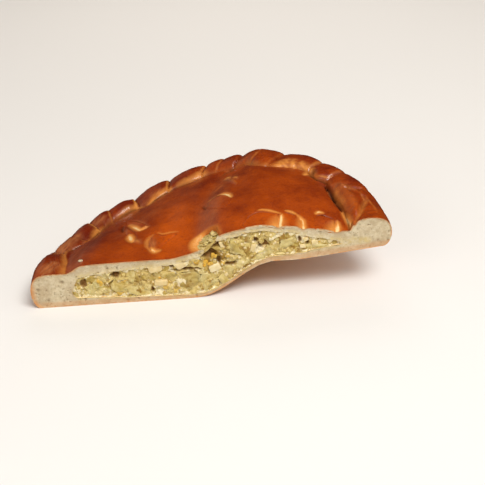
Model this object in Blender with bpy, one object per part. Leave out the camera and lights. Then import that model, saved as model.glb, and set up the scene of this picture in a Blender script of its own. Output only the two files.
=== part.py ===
"""One half of a round yeast-dough pie filled with cabbage and egg.

The knife went just in front of the pie's centre, through the vent in its top. The left of this
half lies flat, and its right end is raised on an S-shaped bend, so the cut shows a long wave.
X runs along the cut to the right, +Y goes from the cut into the pie, and Z is up. The origin is
the middle of the box around the half, at the surface that the pie lies on.
"""

import math

import bmesh
import bpy
from mathutils import Vector, noise

# Driving sizes, in metres and degrees
RADIUS = 0.1204
CUT_OFFSET = 0.0075  # from the cut to the pie's centre, where the vent is
FOOT = 0.0065  # how far the rim's lower edge tucks in
FILLING_INSET = 0.008  # from the groove inside the rim to the filling's edge
FILLING_ROUND = 0.004  # how far the filling's edge bulges
LIP_LEAN = 0.0012  # how far the vent's torn lip leans inwards
CROWN_DROP = 0.0015  # from the top's level to the filling that shows in the vent
CROWN_SHOULDER = 0.6  # where the filling in the vent turns level, as a share of the vent's reach
CROWN_RISE = 0.55  # how much of its rise it has made there
GAP = 0.0003  # clearance between pieces that touch
FACING_START = -8.0  # bearings outside these two lie in front of the cut
FACING_END = 188.0

TURN_STEPS = 112
BOTTOM_STEPS = 6
ARC_STEPS = 4
SLOPE_STEPS = 5
PANEL_STEPS = 9
CAVITY_STEPS = 6
CAVITY_END_STEPS = 3

# Heights along the cut, as (x, height above the surface)
CUT_TOP = (
    (-0.121, 0.0240),
    (-0.096, 0.0250),
    (-0.085, 0.0303),
    (-0.060, 0.0312),
    (-0.030, 0.0312),
    (-0.012, 0.0347),
    (0.008, 0.0470),
    (0.020, 0.0498),
    (0.032, 0.0518),
    (0.052, 0.0498),
    (0.072, 0.0462),
    (0.092, 0.0437),
    (0.121, 0.0437),
)
# Heights and widths around the rim, as (bearing from +X about the pie's centre, value)
RIM_TOP = (
    (-8, 0.0520),
    (6, 0.0525),
    (14, 0.0560),
    (26, 0.0580),
    (37, 0.0588),
    (53, 0.0602),
    (66, 0.0600),
    (76, 0.0530),
    (86, 0.0465),
    (96, 0.0410),
    (108, 0.0335),
    (119, 0.0270),
    (130, 0.0230),
    (144, 0.0205),
    (158, 0.0200),
    (170, 0.0240),
    (180, 0.0255),
    (188, 0.0255),
)
RIM_THICKNESS = ((-8, 0.0215), (19, 0.0225), (37, 0.0245), (188, 0.0250))
RIM_INSET = ((136, 0.0), (162, 0.0030), (176, 0.0))  # where the rim stays short of the radius
RIM_INSIDE = (
    (-8, 0.0920),
    (9, 0.0923),
    (22, 0.0905),
    (30, 0.0980),
    (34, 0.0945),
    (42, 0.0990),
    (49, 0.0945),
    (56, 0.0885),
    (62, 0.0860),
    (70, 0.0930),
    (82, 0.1000),
    (88, 0.1010),
    (96, 0.0985),
    (102, 0.1000),
    (111, 0.0975),
    (118, 0.0930),
    (123, 0.1040),
    (130, 0.1045),
    (141, 0.0995),
    (151, 0.0950),
    (162, 0.1040),
    (174, 0.0975),
    (188, 0.0965),
)
GROOVE_DEPTH = (
    (-8, 0.0080),
    (10, 0.0080),
    (24, 0.0078),
    (45, 0.0055),
    (90, 0.0050),
    (140, 0.0045),
    (158, 0.0018),
    (188, 0.0008),
)
VENT_REACH = (
    (-90, 0.0098),
    (-48, 0.0100),
    (0, 0.0068),
    (40, 0.0075),
    (90, 0.0098),
    (115, 0.0117),
    (150, 0.0128),
    (200, 0.0124),
    (225, 0.0120),
    (270, 0.0098),
)
# Dough left above and below the filling along the pie, as (x, thickness)
TOP_DOUGH = ((-0.095, 0.0085), (-0.06, 0.0065), (0.0, 0.0042), (0.045, 0.0045), (0.085, 0.0075))
BOTTOM_DOUGH = ((-0.095, 0.0060), (-0.05, 0.0038), (0.02, 0.0026), (0.05, 0.0042), (0.085, 0.0065))

# The bend: where it starts on the cut, how that line leans back, and how high it lifts
BEND_START = -0.013
BEND_LEAN = 0.36
BEND_RUN_AT_CUT = 0.054
BEND_RUN_AT_BACK = 0.046
BEND_ONSET = 1.1
LIFT_AT_CUT = 0.0245
LIFT_AT_BACK = 0.0335
END_SLOPE = 0.11
END_SLOPE_START = 0.060
BACK_Y = 0.120
CURL_START = 0.052  # the edge curls up off the surface between these distances from the rim
CURL_END = 0.012
CURL_FROM_CUT = 0.025

PANEL_REACH = RADIUS - 0.018  # the top's smooth part is measured out to here
PANEL_SIDE = 0.996 * PANEL_REACH
PANEL_DOME = 0.0045
DOME_FADE = 0.030
# The soft valley from the vent to the back, as (y, x)
VALLEY = ((0.0, -0.009), (0.018, -0.007), (0.050, -0.001), (0.072, 0.006), (0.097, 0.015), (0.112, 0.028))
VALLEY_DEPTH = 0.0026
VALLEY_WIDTH = 0.0085
VALLEY_FADE = 0.030
UNEVENNESS = 0.0007
UNEVENNESS_SIZE = 0.032
UNEVENNESS_FADE = 0.015

# The rope edge's creases, as (bearing halfway across the rim, depth outside, depth inside)
CREASES = (
    (-14, 0.0010, 0.0010),
    (17, 0.0014, 0.0016),
    (30, 0.0020, 0.0024),
    (41, 0.0028, 0.0030),
    (57.5, 0.0040, 0.0042),
    (75, 0.0036, 0.0040),
    (82, 0.0012, 0.0016),
    (89, 0.0034, 0.0040),
    (103.7, 0.0024, 0.0042),
    (118.5, 0.0018, 0.0042),
    (129.5, 0.0008, 0.0018),
    (139, 0.0009, 0.0032),
    (150, 0.0003, 0.0012),
    (162, 0.0009, 0.0032),
    (194, 0.0010, 0.0010),
)
CREASE_SHARPNESS = 0.5
CREASE_SKEW = 0.72  # below 1 a crimp dives more steeply beside its earlier crease
CREASE_SLANT = 2.0  # how far a crease swings from halfway across the rim to either side
SLANT_START = 50.0
SLANT_RUN = 20.0
RIM_ROUND = 0.46  # height of the rim's widest line, as a share of its thickness
RIM_SHARE = 0.5  # the share of the rim's width outside its highest line
CREASE_BITE = 0.8  # how far a crease cuts in from the side, as a share of its depth
CREASE_RUNOUT = 0.5  # the share of a crease's depth that is lost down the rim's inner slope
FOOT_FULLNESS = 0.9  # powers that square the rim's section off: below 1 it is fuller than round
SHOULDER_FULLNESS = 0.8
TOP_FULLNESS = 0.9
SLOPE_FULLNESS = 2.4
SLOPE_END = 0.7

# Dough leaves laid round the vent: name, middle (x, y), length, width, bearing of the tip
LEAVES = (
    ("leaf_left_back", -0.0495, 0.0535, 0.026, 0.0125, -42),
    ("leaf_left_front", -0.0562, 0.0370, 0.024, 0.0085, -75),
    ("leaf_left_inner", -0.0325, 0.0225, 0.025, 0.0190, 30),
    ("leaf_middle", 0.0080, 0.0450, 0.024, 0.0180, -32),
    ("leaf_right_inner", 0.0345, 0.0065, 0.0240, 0.0160, 14),
    ("leaf_right_middle", 0.0532, 0.0050, 0.0120, 0.0180, 0),
    ("leaf_right_outer", 0.0750, 0.0055, 0.0200, 0.0160, 10),
)
LEAF_HEIGHT = 0.0022
LEAF_EDGE = 0.0005
LEAF_POINT = 0.55  # powers: how blunt a leaf's ends are and how round its back is
LEAF_BACK = 0.7
LEAF_TAPER = 0.22  # how much narrower a leaf gets towards its tip
LEAF_LENGTH_STEPS = 8
LEAF_WIDTH_STEPS = 5

# Colours of the crust, the filling and the leaves, linear
CRUST_COLOUR = (0.36, 0.085, 0.012, 1.0)
FILLING_COLOUR = (0.62, 0.58, 0.28, 1.0)
LEAF_COLOUR = (0.42, 0.12, 0.018, 1.0)
SHARP_ANGLE = 50.0  # edges bent more than this are shaded sharp


def clamp(value):
    return min(1.0, max(0.0, value))


def ease(value):
    """0 to 1 with level ends."""
    value = clamp(value)
    return value * value * (3.0 - 2.0 * value)


def mix(low, high, share):
    return low + (high - low) * share


def slope_at(points, index):
    """A curve's slope at one of its points, level where the points turn."""
    if index in (0, len(points) - 1):
        return 0.0
    (x0, y0), (x1, y1), (x2, y2) = points[index - 1 : index + 2]
    before = (y1 - y0) / (x1 - x0)
    after = (y2 - y1) / (x2 - x1)
    if before * after <= 0.0:
        return 0.0
    return 2.0 * before * after / (before + after)


def along(points, x):
    """The height at x of a smooth curve through a few (x, height) points."""
    if x <= points[0][0]:
        return points[0][1]
    if x >= points[-1][0]:
        return points[-1][1]
    index = max(i for i, point in enumerate(points[:-1]) if point[0] <= x)
    (x0, y0), (x1, y1) = points[index : index + 2]
    run = x1 - x0
    t = (x - x0) / run
    start = slope_at(points, index) * run
    end = slope_at(points, index + 1) * run
    square = t * t
    cube = square * t
    return (
        y0 * (2 * cube - 3 * square + 1)
        + start * (cube - 2 * square + t)
        + y1 * (3 * square - 2 * cube)
        + end * (cube - square)
    )


def bearing(x, y):
    """Degrees from +X about the pie's centre, from -90 to 270."""
    degrees = math.degrees(math.atan2(y - CUT_OFFSET, x))
    return degrees + 360.0 if degrees < -90.0 else degrees


def facing(degrees):
    """The bearing that the tables are read at: the part in front of the cut repeats the ends."""
    return min(FACING_END, max(FACING_START, degrees))


def belly(x, y):
    """Height of the underside away from the rim: flat, then lifted past the bend."""
    back = clamp(y / BACK_Y)
    start = BEND_START + BEND_LEAN * max(0.0, y)
    run = mix(BEND_RUN_AT_CUT, BEND_RUN_AT_BACK, back)
    lift = mix(LIFT_AT_CUT, LIFT_AT_BACK, back)
    end = END_SLOPE * max(0.0, x - END_SLOPE_START) * (1.0 - back)
    return lift * ease(clamp((x - start) / run) ** BEND_ONSET) + end


def underside(x, y):
    """Height of the pie's underside: the filled belly rests, and the rim curls up round it."""
    low = belly(x, y)
    face = facing(bearing(x, y))
    rim_base = max(0.0, along(RIM_TOP, face) - along(RIM_THICKNESS, face))
    inward = RADIUS - math.hypot(x, y - CUT_OFFSET)
    curl = ease((CURL_START - inward) / (CURL_START - CURL_END)) * ease(y / CURL_FROM_CUT)
    return mix(low, rim_base, curl)


def groove_height(degrees):
    degrees = facing(degrees)
    return along(RIM_TOP, degrees) - along(GROOVE_DEPTH, degrees)


def groove_radius(degrees):
    return along(RIM_INSIDE, facing(degrees))


def panel(x, y):
    """Height of the smooth top inside the rim: from the line along the cut to the rim's groove."""
    across = max(-PANEL_SIDE, min(PANEL_SIDE, x))
    far_y = CUT_OFFSET + math.sqrt(PANEL_REACH * PANEL_REACH - across * across)
    back = clamp(y / far_y)
    far_height = groove_height(bearing(across, far_y))
    height = mix(along(CUT_TOP, x), far_height, back)
    dome = 4.0 * back * (1.0 - back) * ease((PANEL_REACH - abs(x)) / DOME_FADE)
    valley = math.exp(-(((x - along(VALLEY, y)) / VALLEY_WIDTH) ** 2)) * ease(y / VALLEY_FADE)
    where = Vector((x / UNEVENNESS_SIZE, y / UNEVENNESS_SIZE, 0.0))
    uneven = noise.noise(where) * ease(y / UNEVENNESS_FADE)
    return height + PANEL_DOME * dome - VALLEY_DEPTH * valley + UNEVENNESS * uneven


def crease_dip(degrees, outward):
    """How far the rim dips at a bearing: nothing on a crimp's back, all its depth in a crease.
    Outward runs from -1 at the rim's inside to 1 at its outside."""
    degrees += CREASE_SLANT * outward * ease((degrees - SLANT_START) / SLANT_RUN)
    index = max((i for i, crease in enumerate(CREASES[:-1]) if crease[0] <= degrees), default=0)
    (start, start_outside, start_inside), (end, end_outside, end_inside) = CREASES[index : index + 2]
    share = clamp((degrees - start) / (end - start))
    back = math.sin(math.pi * share**CREASE_SKEW) ** CREASE_SHARPNESS
    outside = mix(start_outside, end_outside, share)
    inside = mix(start_inside, end_inside, share)
    return mix(inside, outside, clamp(outward)) * (1.0 - back)


def place(radius, degrees):
    """Plan position of a point at a radius and bearing about the pie's centre."""
    angle = math.radians(degrees)
    return radius * math.cos(angle), CUT_OFFSET + radius * math.sin(angle)


def rim_point(degrees, across):
    """A point on the rim's outside: across runs from -1, under it, over 0, its widest, and 1,
    its top, to 2, the groove inside it."""
    face = facing(degrees)
    outer = RADIUS - along(RIM_INSET, face)
    base = underside(*place(outer - FOOT, degrees))
    top = along(RIM_TOP, face)
    width = outer - along(RIM_INSIDE, face)
    widest = base + RIM_ROUND * min(top - base, along(RIM_THICKNESS, face))
    dip = crease_dip(degrees, clamp(1.0 - across) - clamp(across - 1.0))
    angle = across * math.pi / 2.0
    side = max(0.0, math.cos(angle))
    bite = CREASE_BITE * dip * side
    if across <= 0.0:
        radius = outer - FOOT * (1.0 - side**FOOT_FULLNESS) - bite
        height = widest + (widest - base) * math.sin(angle)
    elif across <= 1.0:
        radius = outer - RIM_SHARE * width * (1.0 - side**SHOULDER_FULLNESS) - bite
        lift = math.sin(angle)
        height = widest + (top - widest) * lift**TOP_FULLNESS - dip * lift
    else:
        inner = across - 1.0
        radius = outer - width * mix(RIM_SHARE, 1.0, inner)
        edge = panel(*place(outer - width, degrees))
        crest = top - dip * (1.0 - CREASE_RUNOUT * inner)
        height = mix(edge, crest, (1.0 - inner**SLOPE_FULLNESS) ** SLOPE_END)
    return radius, height


def cavity_top(x, y):
    return panel(x, y) - along(TOP_DOUGH, x)


def cavity_bottom(x, y):
    return underside(x, y) + along(BOTTOM_DOUGH, x)


def cavity_reach(degrees):
    return groove_radius(degrees) - FILLING_INSET


def crust_section(degrees):
    """(radius, height) of each station round the crust's wall, from under the centre outwards,
    over the rim and the top to the vent, and back through the cavity."""
    section = []
    for step in range(BOTTOM_STEPS):
        radius = (RADIUS - FOOT) * step / BOTTOM_STEPS
        section.append((radius, underside(*place(radius, degrees))))
    for step in range(-ARC_STEPS, ARC_STEPS + 1):
        section.append(rim_point(degrees, step / ARC_STEPS))
    for step in range(1, SLOPE_STEPS + 1):
        section.append(rim_point(degrees, 1.0 + step / SLOPE_STEPS))
    edge = groove_radius(degrees)
    vent = along(VENT_REACH, degrees)
    for step in range(1, PANEL_STEPS + 1):
        radius = mix(edge, vent, step / PANEL_STEPS)
        section.append((radius, panel(*place(radius, degrees))))
    lip = place(vent, degrees)
    section.append((vent - LIP_LEAN, mix(panel(*lip), cavity_top(*lip), 0.5)))
    reach = cavity_reach(degrees)
    for step in range(CAVITY_STEPS + 1):
        radius = mix(vent, reach, step / CAVITY_STEPS)
        section.append((radius, cavity_top(*place(radius, degrees))))
    spot = place(reach, degrees)
    low, high = cavity_bottom(*spot), cavity_top(*spot)
    for step in range(1, CAVITY_END_STEPS):
        angle = math.pi * step / CAVITY_END_STEPS
        bulge = FILLING_ROUND * math.sin(angle)
        section.append((reach + bulge, mix(low, high, 0.5 + 0.5 * math.cos(angle))))
    for step in range(CAVITY_STEPS + 1):
        radius = reach * (1.0 - step / CAVITY_STEPS)
        section.append((radius, cavity_bottom(*place(radius, degrees))))
    return section


def filling_section(degrees):
    """(radius, height) of each station round the filling, from under the centre outwards and
    back over it to its bulge in the vent."""
    section = []
    reach = cavity_reach(degrees) - GAP
    for step in range(CAVITY_STEPS + 1):
        radius = reach * step / CAVITY_STEPS
        section.append((radius, cavity_bottom(*place(radius, degrees)) + GAP))
    spot = place(reach, degrees)
    low, high = cavity_bottom(*spot) + GAP, cavity_top(*spot) - GAP
    for step in range(1, CAVITY_END_STEPS):
        angle = math.pi * step / CAVITY_END_STEPS
        bulge = FILLING_ROUND * math.sin(angle)
        section.append((reach + bulge, mix(high, low, 0.5 + 0.5 * math.cos(angle))))
    vent = along(VENT_REACH, degrees)
    for step in range(CAVITY_STEPS + 1):
        radius = mix(reach, vent, step / CAVITY_STEPS)
        section.append((radius, cavity_top(*place(radius, degrees)) - GAP))
    x, y = place(0.0, degrees)
    crown = panel(x, y) - CROWN_DROP
    shoulder = mix(cavity_top(*place(vent, degrees)), crown, CROWN_RISE)
    section.append((CROWN_SHOULDER * vent, shoulder))
    section.append((0.0, crown))
    return section


def turned(section_at):
    """A mesh turned about the pie's centre, each of its stations then set to the true section."""
    bm = bmesh.new()
    station = bm.verts.layers.int.new("station")
    profile = []
    for number, (radius, height) in enumerate(section_at(0.0)):
        vert = bm.verts.new((radius, 0.0, height))
        vert[station] = number
        profile.append(vert)
    edges = [bm.edges.new(pair) for pair in zip(profile, profile[1:])]
    bmesh.ops.spin(
        bm,
        geom=profile + edges,
        cent=(0.0, 0.0, 0.0),
        axis=(0.0, 0.0, 1.0),
        angle=math.tau,
        steps=TURN_STEPS,
        use_merge=True,
    )
    sections = {}
    for vert in bm.verts:
        turn = round(math.atan2(vert.co.y, vert.co.x) / math.tau * TURN_STEPS) % TURN_STEPS
        degrees = 360.0 * turn / TURN_STEPS
        degrees = degrees - 360.0 if degrees > 270.0 else degrees
        if degrees not in sections:
            sections[degrees] = section_at(degrees)
        radius, height = sections[degrees][vert[station]]
        x, y = place(radius, degrees)
        vert.co = (x, y, height)
    bmesh.ops.remove_doubles(bm, verts=bm.verts, dist=1e-6)
    return bm


def cut_open(bm):
    """Takes away what lies in front of the knife's cut and closes the cut face."""
    geometry = bm.verts[:] + bm.edges[:] + bm.faces[:]
    bmesh.ops.bisect_plane(
        bm,
        geom=geometry,
        dist=1e-6,
        plane_co=(0.0, 0.0, 0.0),
        plane_no=(0.0, -1.0, 0.0),
        clear_outer=True,
    )
    open_edges = [edge for edge in bm.edges if edge.is_boundary]
    if open_edges:
        bmesh.ops.triangle_fill(bm, use_beauty=True, edges=open_edges)


def leaf_mesh(middle_x, middle_y, length, width, tip_bearing):
    """A dough leaf: a pointed pad, thickest along its middle, that follows the top's surface."""
    bm = bmesh.new()
    bmesh.ops.create_grid(
        bm, x_segments=LEAF_LENGTH_STEPS, y_segments=LEAF_WIDTH_STEPS, size=1.0
    )
    lower = bmesh.ops.extrude_face_region(bm, geom=bm.faces[:])["geom"]
    below = {item for item in lower if isinstance(item, bmesh.types.BMVert)}
    turn = math.radians(tip_bearing)
    for vert in bm.verts:
        u, v = vert.co.x, vert.co.y
        breadth = max(0.0, 1.0 - u * u) ** LEAF_POINT * (1.0 - LEAF_TAPER * u)
        swell = LEAF_EDGE + LEAF_HEIGHT * breadth * (1.0 - v * v) ** LEAF_BACK
        forward = 0.5 * length * u
        sideways = 0.5 * width * v * breadth
        x = middle_x + forward * math.cos(turn) - sideways * math.sin(turn)
        y = middle_y + forward * math.sin(turn) + sideways * math.cos(turn)
        base = panel(x, y) + GAP
        vert.co = (x, y, base if vert in below else base + swell)
    bmesh.ops.remove_doubles(bm, verts=bm.verts, dist=1e-5)
    cut_open(bm)
    return bm


def material(name, colour, roughness):
    made = bpy.data.materials.new(name)
    made.use_nodes = True
    shader = made.node_tree.nodes["Principled BSDF"]
    shader.inputs["Base Color"].default_value = colour
    shader.inputs["Roughness"].default_value = roughness
    shader.inputs["Metallic"].default_value = 0.0
    return made


def finish(bm, name, made_of, shift):
    """Turns a bmesh into the named object, moved so that the origin is under the half's middle."""
    bmesh.ops.dissolve_degenerate(bm, dist=1e-6, edges=bm.edges)
    bmesh.ops.triangulate(bm, faces=bm.faces)
    bmesh.ops.recalc_face_normals(bm, faces=bm.faces)
    bmesh.ops.translate(bm, verts=bm.verts, vec=shift)
    mesh = bpy.data.meshes.new(name)
    bm.to_mesh(mesh)
    bm.free()
    mesh.shade_smooth()
    mesh.set_sharp_from_angle(angle=math.radians(SHARP_ANGLE))
    mesh.materials.append(made_of)
    obj = bpy.data.objects.new(name, mesh)
    bpy.context.scene.collection.objects.link(obj)
    return obj


def middle_shift(bm):
    """The move that puts the origin under the middle of the mesh's box."""
    xs = [vert.co.x for vert in bm.verts]
    ys = [vert.co.y for vert in bm.verts]
    zs = [vert.co.z for vert in bm.verts]
    return Vector((-(min(xs) + max(xs)) / 2.0, -(min(ys) + max(ys)) / 2.0, -min(zs)))


def main():
    for obj in list(bpy.data.objects):
        bpy.data.objects.remove(obj)
    crust = turned(crust_section)
    cut_open(crust)
    shift = middle_shift(crust)
    finish(crust, "crust", material("baked_crust", CRUST_COLOUR, 0.3), shift)
    filling = turned(filling_section)
    cut_open(filling)
    finish(filling, "filling", material("cabbage_and_egg", FILLING_COLOUR, 0.5), shift)
    leaf_material = material("baked_leaf", LEAF_COLOUR, 0.3)
    for name, x, y, length, width, tip in LEAVES:
        finish(leaf_mesh(x, y, length, width, tip), name, leaf_material, shift)


main()
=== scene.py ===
"""One half of a baked pie of cabbage and egg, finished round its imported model."""

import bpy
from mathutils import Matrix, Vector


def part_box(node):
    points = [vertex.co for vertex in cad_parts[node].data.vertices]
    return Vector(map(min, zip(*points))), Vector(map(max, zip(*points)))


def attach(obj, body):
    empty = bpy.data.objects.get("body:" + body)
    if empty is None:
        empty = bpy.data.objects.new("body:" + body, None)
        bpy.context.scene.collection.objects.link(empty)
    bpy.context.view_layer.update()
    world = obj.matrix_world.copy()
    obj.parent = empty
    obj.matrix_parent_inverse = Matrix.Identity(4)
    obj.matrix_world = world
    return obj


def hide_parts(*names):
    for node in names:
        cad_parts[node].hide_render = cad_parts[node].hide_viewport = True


bl_info = {
    "name": "Cabbage and egg pie",
    "version": (1, 0, 0),
    "blender": (4, 5, 0),
    "location": "3D View > Sidebar > Pie",
    "description": "Finishes the cut half of a yeast-dough pie with its crust, leaves and filling",
    "category": "Object",
}

import math
import random

import bmesh
import bpy
import numpy as np
from mathutils import Matrix, Vector, kdtree, noise
from mathutils.geometry import delaunay_2d_cdt

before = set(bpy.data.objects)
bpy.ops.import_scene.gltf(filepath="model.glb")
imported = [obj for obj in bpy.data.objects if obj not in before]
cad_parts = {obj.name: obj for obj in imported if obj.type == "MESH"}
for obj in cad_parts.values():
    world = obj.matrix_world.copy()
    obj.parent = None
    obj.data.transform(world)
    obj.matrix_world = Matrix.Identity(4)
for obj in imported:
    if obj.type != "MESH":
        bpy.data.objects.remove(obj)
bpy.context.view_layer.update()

MM = 0.001
KNIFE_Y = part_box("crust")[0].y  # the plane of the knife's cut
MIDDLE_X = -0.0001  # the pie's centre, along the cut

# ---------------------------------------------------------------- the pie's sizes
# Below, y is measured from the cut into the pie. The tables are (place, value), the place being
# x for the ones along the cut and a bearing in degrees about the pie's centre for the others.
RADIUS = 0.1204
CUT_OFFSET = 0.0075
FOOT = 0.0065
FILLING_INSET = 0.008
FILLING_ROUND = 0.004
FACING_START = -8.0
FACING_END = 188.0

CUT_TOP = (
    (-0.121, 0.024), (-0.096, 0.025), (-0.085, 0.0303), (-0.06, 0.0312), (-0.03, 0.0312),
    (-0.012, 0.0347), (0.008, 0.047), (0.02, 0.0498), (0.032, 0.0518), (0.052, 0.0498),
    (0.072, 0.0462), (0.092, 0.0437), (0.121, 0.0437),
)
RIM_TOP = (
    (-8, 0.052), (6, 0.0525), (14, 0.056), (26, 0.058), (37, 0.0588), (53, 0.0602), (66, 0.06),
    (76, 0.053), (86, 0.0465), (96, 0.041), (108, 0.0335), (119, 0.027), (130, 0.023),
    (144, 0.0205), (158, 0.02), (170, 0.024), (180, 0.0255), (188, 0.0255),
)
RIM_THICKNESS = ((-8, 0.0215), (19, 0.0225), (37, 0.0245), (188, 0.025))
RIM_INSET = ((136, 0), (162, 0.003), (176, 0))
RIM_INSIDE = (
    (-8, 0.092), (9, 0.0923), (22, 0.0905), (30, 0.098), (34, 0.0945), (42, 0.099), (49, 0.0945),
    (56, 0.0885), (62, 0.086), (70, 0.093), (82, 0.1), (88, 0.101), (96, 0.0985), (102, 0.1),
    (111, 0.0975), (118, 0.093), (123, 0.104), (130, 0.1045), (141, 0.0995), (151, 0.095),
    (162, 0.104), (174, 0.0975), (188, 0.0965),
)
GROOVE_DEPTH = (
    (-8, 0.008), (10, 0.008), (24, 0.0078), (45, 0.0055), (90, 0.005), (140, 0.0045), (158, 0.0018),
    (188, 0.0008),
)
VENT_REACH = (
    (-90, 0.0098), (-48, 0.01), (0, 0.0068), (40, 0.0075), (90, 0.0098), (115, 0.0117),
    (150, 0.0128), (200, 0.0124), (225, 0.012), (270, 0.0098),
)
TOP_DOUGH = ((-0.095, 0.0085), (-0.06, 0.0065), (0, 0.0042), (0.045, 0.0045), (0.085, 0.0075))
BOTTOM_DOUGH = ((-0.095, 0.006), (-0.05, 0.0038), (0.02, 0.0026), (0.05, 0.0042), (0.085, 0.0065))

BEND_START = -0.013
BEND_LEAN = 0.36
BEND_RUN_AT_CUT = 0.054
BEND_RUN_AT_BACK = 0.046
BEND_ONSET = 1.1
LIFT_AT_CUT = 0.0245
LIFT_AT_BACK = 0.0335
END_SLOPE = 0.11
END_SLOPE_START = 0.060
BACK_Y = 0.120
CURL_START = 0.052
CURL_END = 0.012
CURL_FROM_CUT = 0.025

PANEL_REACH = RADIUS - 0.018
PANEL_SIDE = 0.996 * PANEL_REACH
PANEL_DOME = 0.0045
DOME_FADE = 0.030
# The soft valley from the vent to the back, as (y, x)
VALLEY = (
    (0, -0.009), (0.018, -0.007), (0.05, -0.001), (0.072, 0.006), (0.097, 0.015), (0.112, 0.028)
)
VALLEY_DEPTH = 0.0026
VALLEY_WIDTH = 0.0085
VALLEY_FADE = 0.030
UNEVENNESS = 0.0007
UNEVENNESS_SIZE = 0.032
UNEVENNESS_FADE = 0.015

# The creases between the crimps: bearing, depth on the rim's outside, depth on its inside
CREASES = (
    (-14, 0.001, 0.001), (17, 0.0014, 0.0016), (30, 0.002, 0.0024), (41, 0.0028, 0.003),
    (57.5, 0.004, 0.0042), (75, 0.0036, 0.004), (82, 0.0012, 0.0016), (89, 0.0034, 0.004),
    (103.7, 0.0024, 0.0042), (118.5, 0.0018, 0.0042), (129.5, 0.0008, 0.0018),
    (139, 0.0009, 0.0032), (150, 0.0003, 0.0012), (162, 0.0009, 0.0032), (194, 0.001, 0.001),
)
CREASE_SHARPNESS = 0.5
CREASE_SKEW = 0.72
CREASE_SLANT = 2.0
SLANT_START = 50.0
SLANT_RUN = 20.0
RIM_ROUND = 0.46
RIM_SHARE = 0.5

# Narrow pinches in the crimps: bearing, depth in mm, how far across the rim they reach, paleness
PINCHES = (
    (17, 0.3, 1.4, 0), (30, 0.6, 1.6, 0.2), (41, 0.9, 1.6, 0.4), (47, 0.4, 0.6, 0),
    (57.5, 0.9, 1.7, 0.15), (65.5, 0.7, 1.2, 0.3), (69, 0.3, 0.7, 0.1), (75, 1.1, 1.8, 0.1),
    (82, 0.5, 1.5, 0.3), (89, 0.8, 1.7, 0.45), (96, 0.25, 0.8, 0), (103.7, 0.9, 1.8, 0.6),
    (110, 0.2, 0.7, 0), (118.5, 1.1, 1.8, 0.9), (129.5, 0.5, 1.5, 0.4), (135, 0.8, 0.7, 0.1),
    (139, 0.7, 1.8, 0.9), (144, 0.25, 0.7, 0), (150, 0.6, 1, 0.25), (153, 0.4, 0.8, 0),
    (157, 0.3, 0.8, 0), (162, 1, 1.8, 0.35), (168, 0.35, 1.2, 0), (173, 0.3, 1, 0),
)
# The pinches' widths in mm: the groove, the line of painted shade in it and the pale one beside it
PINCH_WIDTH = 0.75
PINCH_DARK_WIDTH = 0.45
PINCH_PALE_OFF = 1.3
PINCH_PALE_WIDTH = 1.0
# how dark the painted shade in each pinch is
PINCH_DARK = 0.25
# The crimps' pale inner faces: bearing, how pale they are, how far up they are pale
PALE_INSIDE = (
    (-8, 0.3, 0.3), (10, 0.5, 0.3), (17, 0.7, 0.4), (24, 0.2, 0.3), (34, 0.5, 0.3), (40, 0.8, 0.5),
    (45, 1, 0.6), (53, 1, 0.7), (57, 0.4, 0.4), (62, 0.5, 0.25), (67, 0.8, 0.25), (72, 0.3, 0.25),
    (80, 0.2, 0.3), (86, 0.3, 0.3), (91, 0.8, 0.55), (94, 0.9, 0.45), (101, 0.7, 0.35),
    (103, 0.2, 0.3), (105, 0.8, 0.55), (109, 0.9, 0.42), (116, 0.8, 0.36), (118.5, 0.3, 0.3),
    (120, 0.85, 0.6), (123, 0.9, 0.45), (127, 0.7, 0.35), (130, 0.3, 0.3), (136, 0.3, 0.3),
    (139.5, 0.5, 0.4), (142, 0.85, 0.55), (147, 0.8, 0.4), (151, 0.4, 0.3), (157, 0.25, 0.3),
    (161, 0.3, 0.3), (165, 0.8, 0.35), (176, 0.9, 0.3), (182, 0.9, 0.3), (188, 0.5, 0.3),
)
# How dark the painted shade is along the line where the crimps meet the top, and how deep that line
# is pressed in
FOOT_DARK = (
    (-8, 0.5), (14, 0.5), (26, 0.3), (34, 0.6), (42, 0.3), (50, 0.1), (66, 0.15), (76, 0.1),
    (90, 0.15), (100, 0.45), (104, 0.6), (112, 0.85), (119, 0.5), (125, 0.7), (131, 0.2),
    (139, 0.4), (146, 0.9), (158, 0.8), (162, 0.2), (170, 0.1),
)
FOOT_LINE_DEPTH = 0.6  # in mm
# The torn dough turned down into the vent, as (bearing, width)
VENT_LIP = (
    (-90, 0.0015), (40, 0.0016), (90, 0.0022), (125, 0.0042), (155, 0.0056), (200, 0.0056),
    (235, 0.003), (270, 0.0015),
)
# Where a pinkish sheen, a painted reflection, lies on the glaze, which is also made rougher there:
# path in mm, half-width, strength
PAINTED_SHEEN = (
    (((-9, 12), (-4, 34), (0, 52), (8, 74), (16, 96), (30, 106)), 7, 0.2),
    (((0, 20), (6, 36), (11, 52), (17, 66)), 3, 0.3),
    (((-64, 34), (-54, 46), (-44, 62), (-30, 76)), 5, 0.3),
    (((-8, 14), (-4, 17), (2, 17)), 3, 0.8),
    (((-38, 28), (-39.5, 22), (-37, 13)), 3, 1),
    (((-50.6, 30), (-46.4, 21)), 2.5, 0.8),
    (((14, 88), (19, 80), (24, 72)), 4, 0.8),
    (((88, 46), (95, 40), (101, 34)), 4, 0.7),
    (((-110.5, 1), (-107.5, 8), (-104, 18)), 5, 1.4),
    (((-106, 34), (-100.5, 51.5), (-92, 66)), 5.5, 1.4),
    (((-86, 76), (-74, 88)), 4.5, 0.8),
    (((-42, 100), (-30, 106)), 4, 0.6),
    (((-76, 76), (-60, 88), (-44, 98)), 5, 0.5),
)
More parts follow.
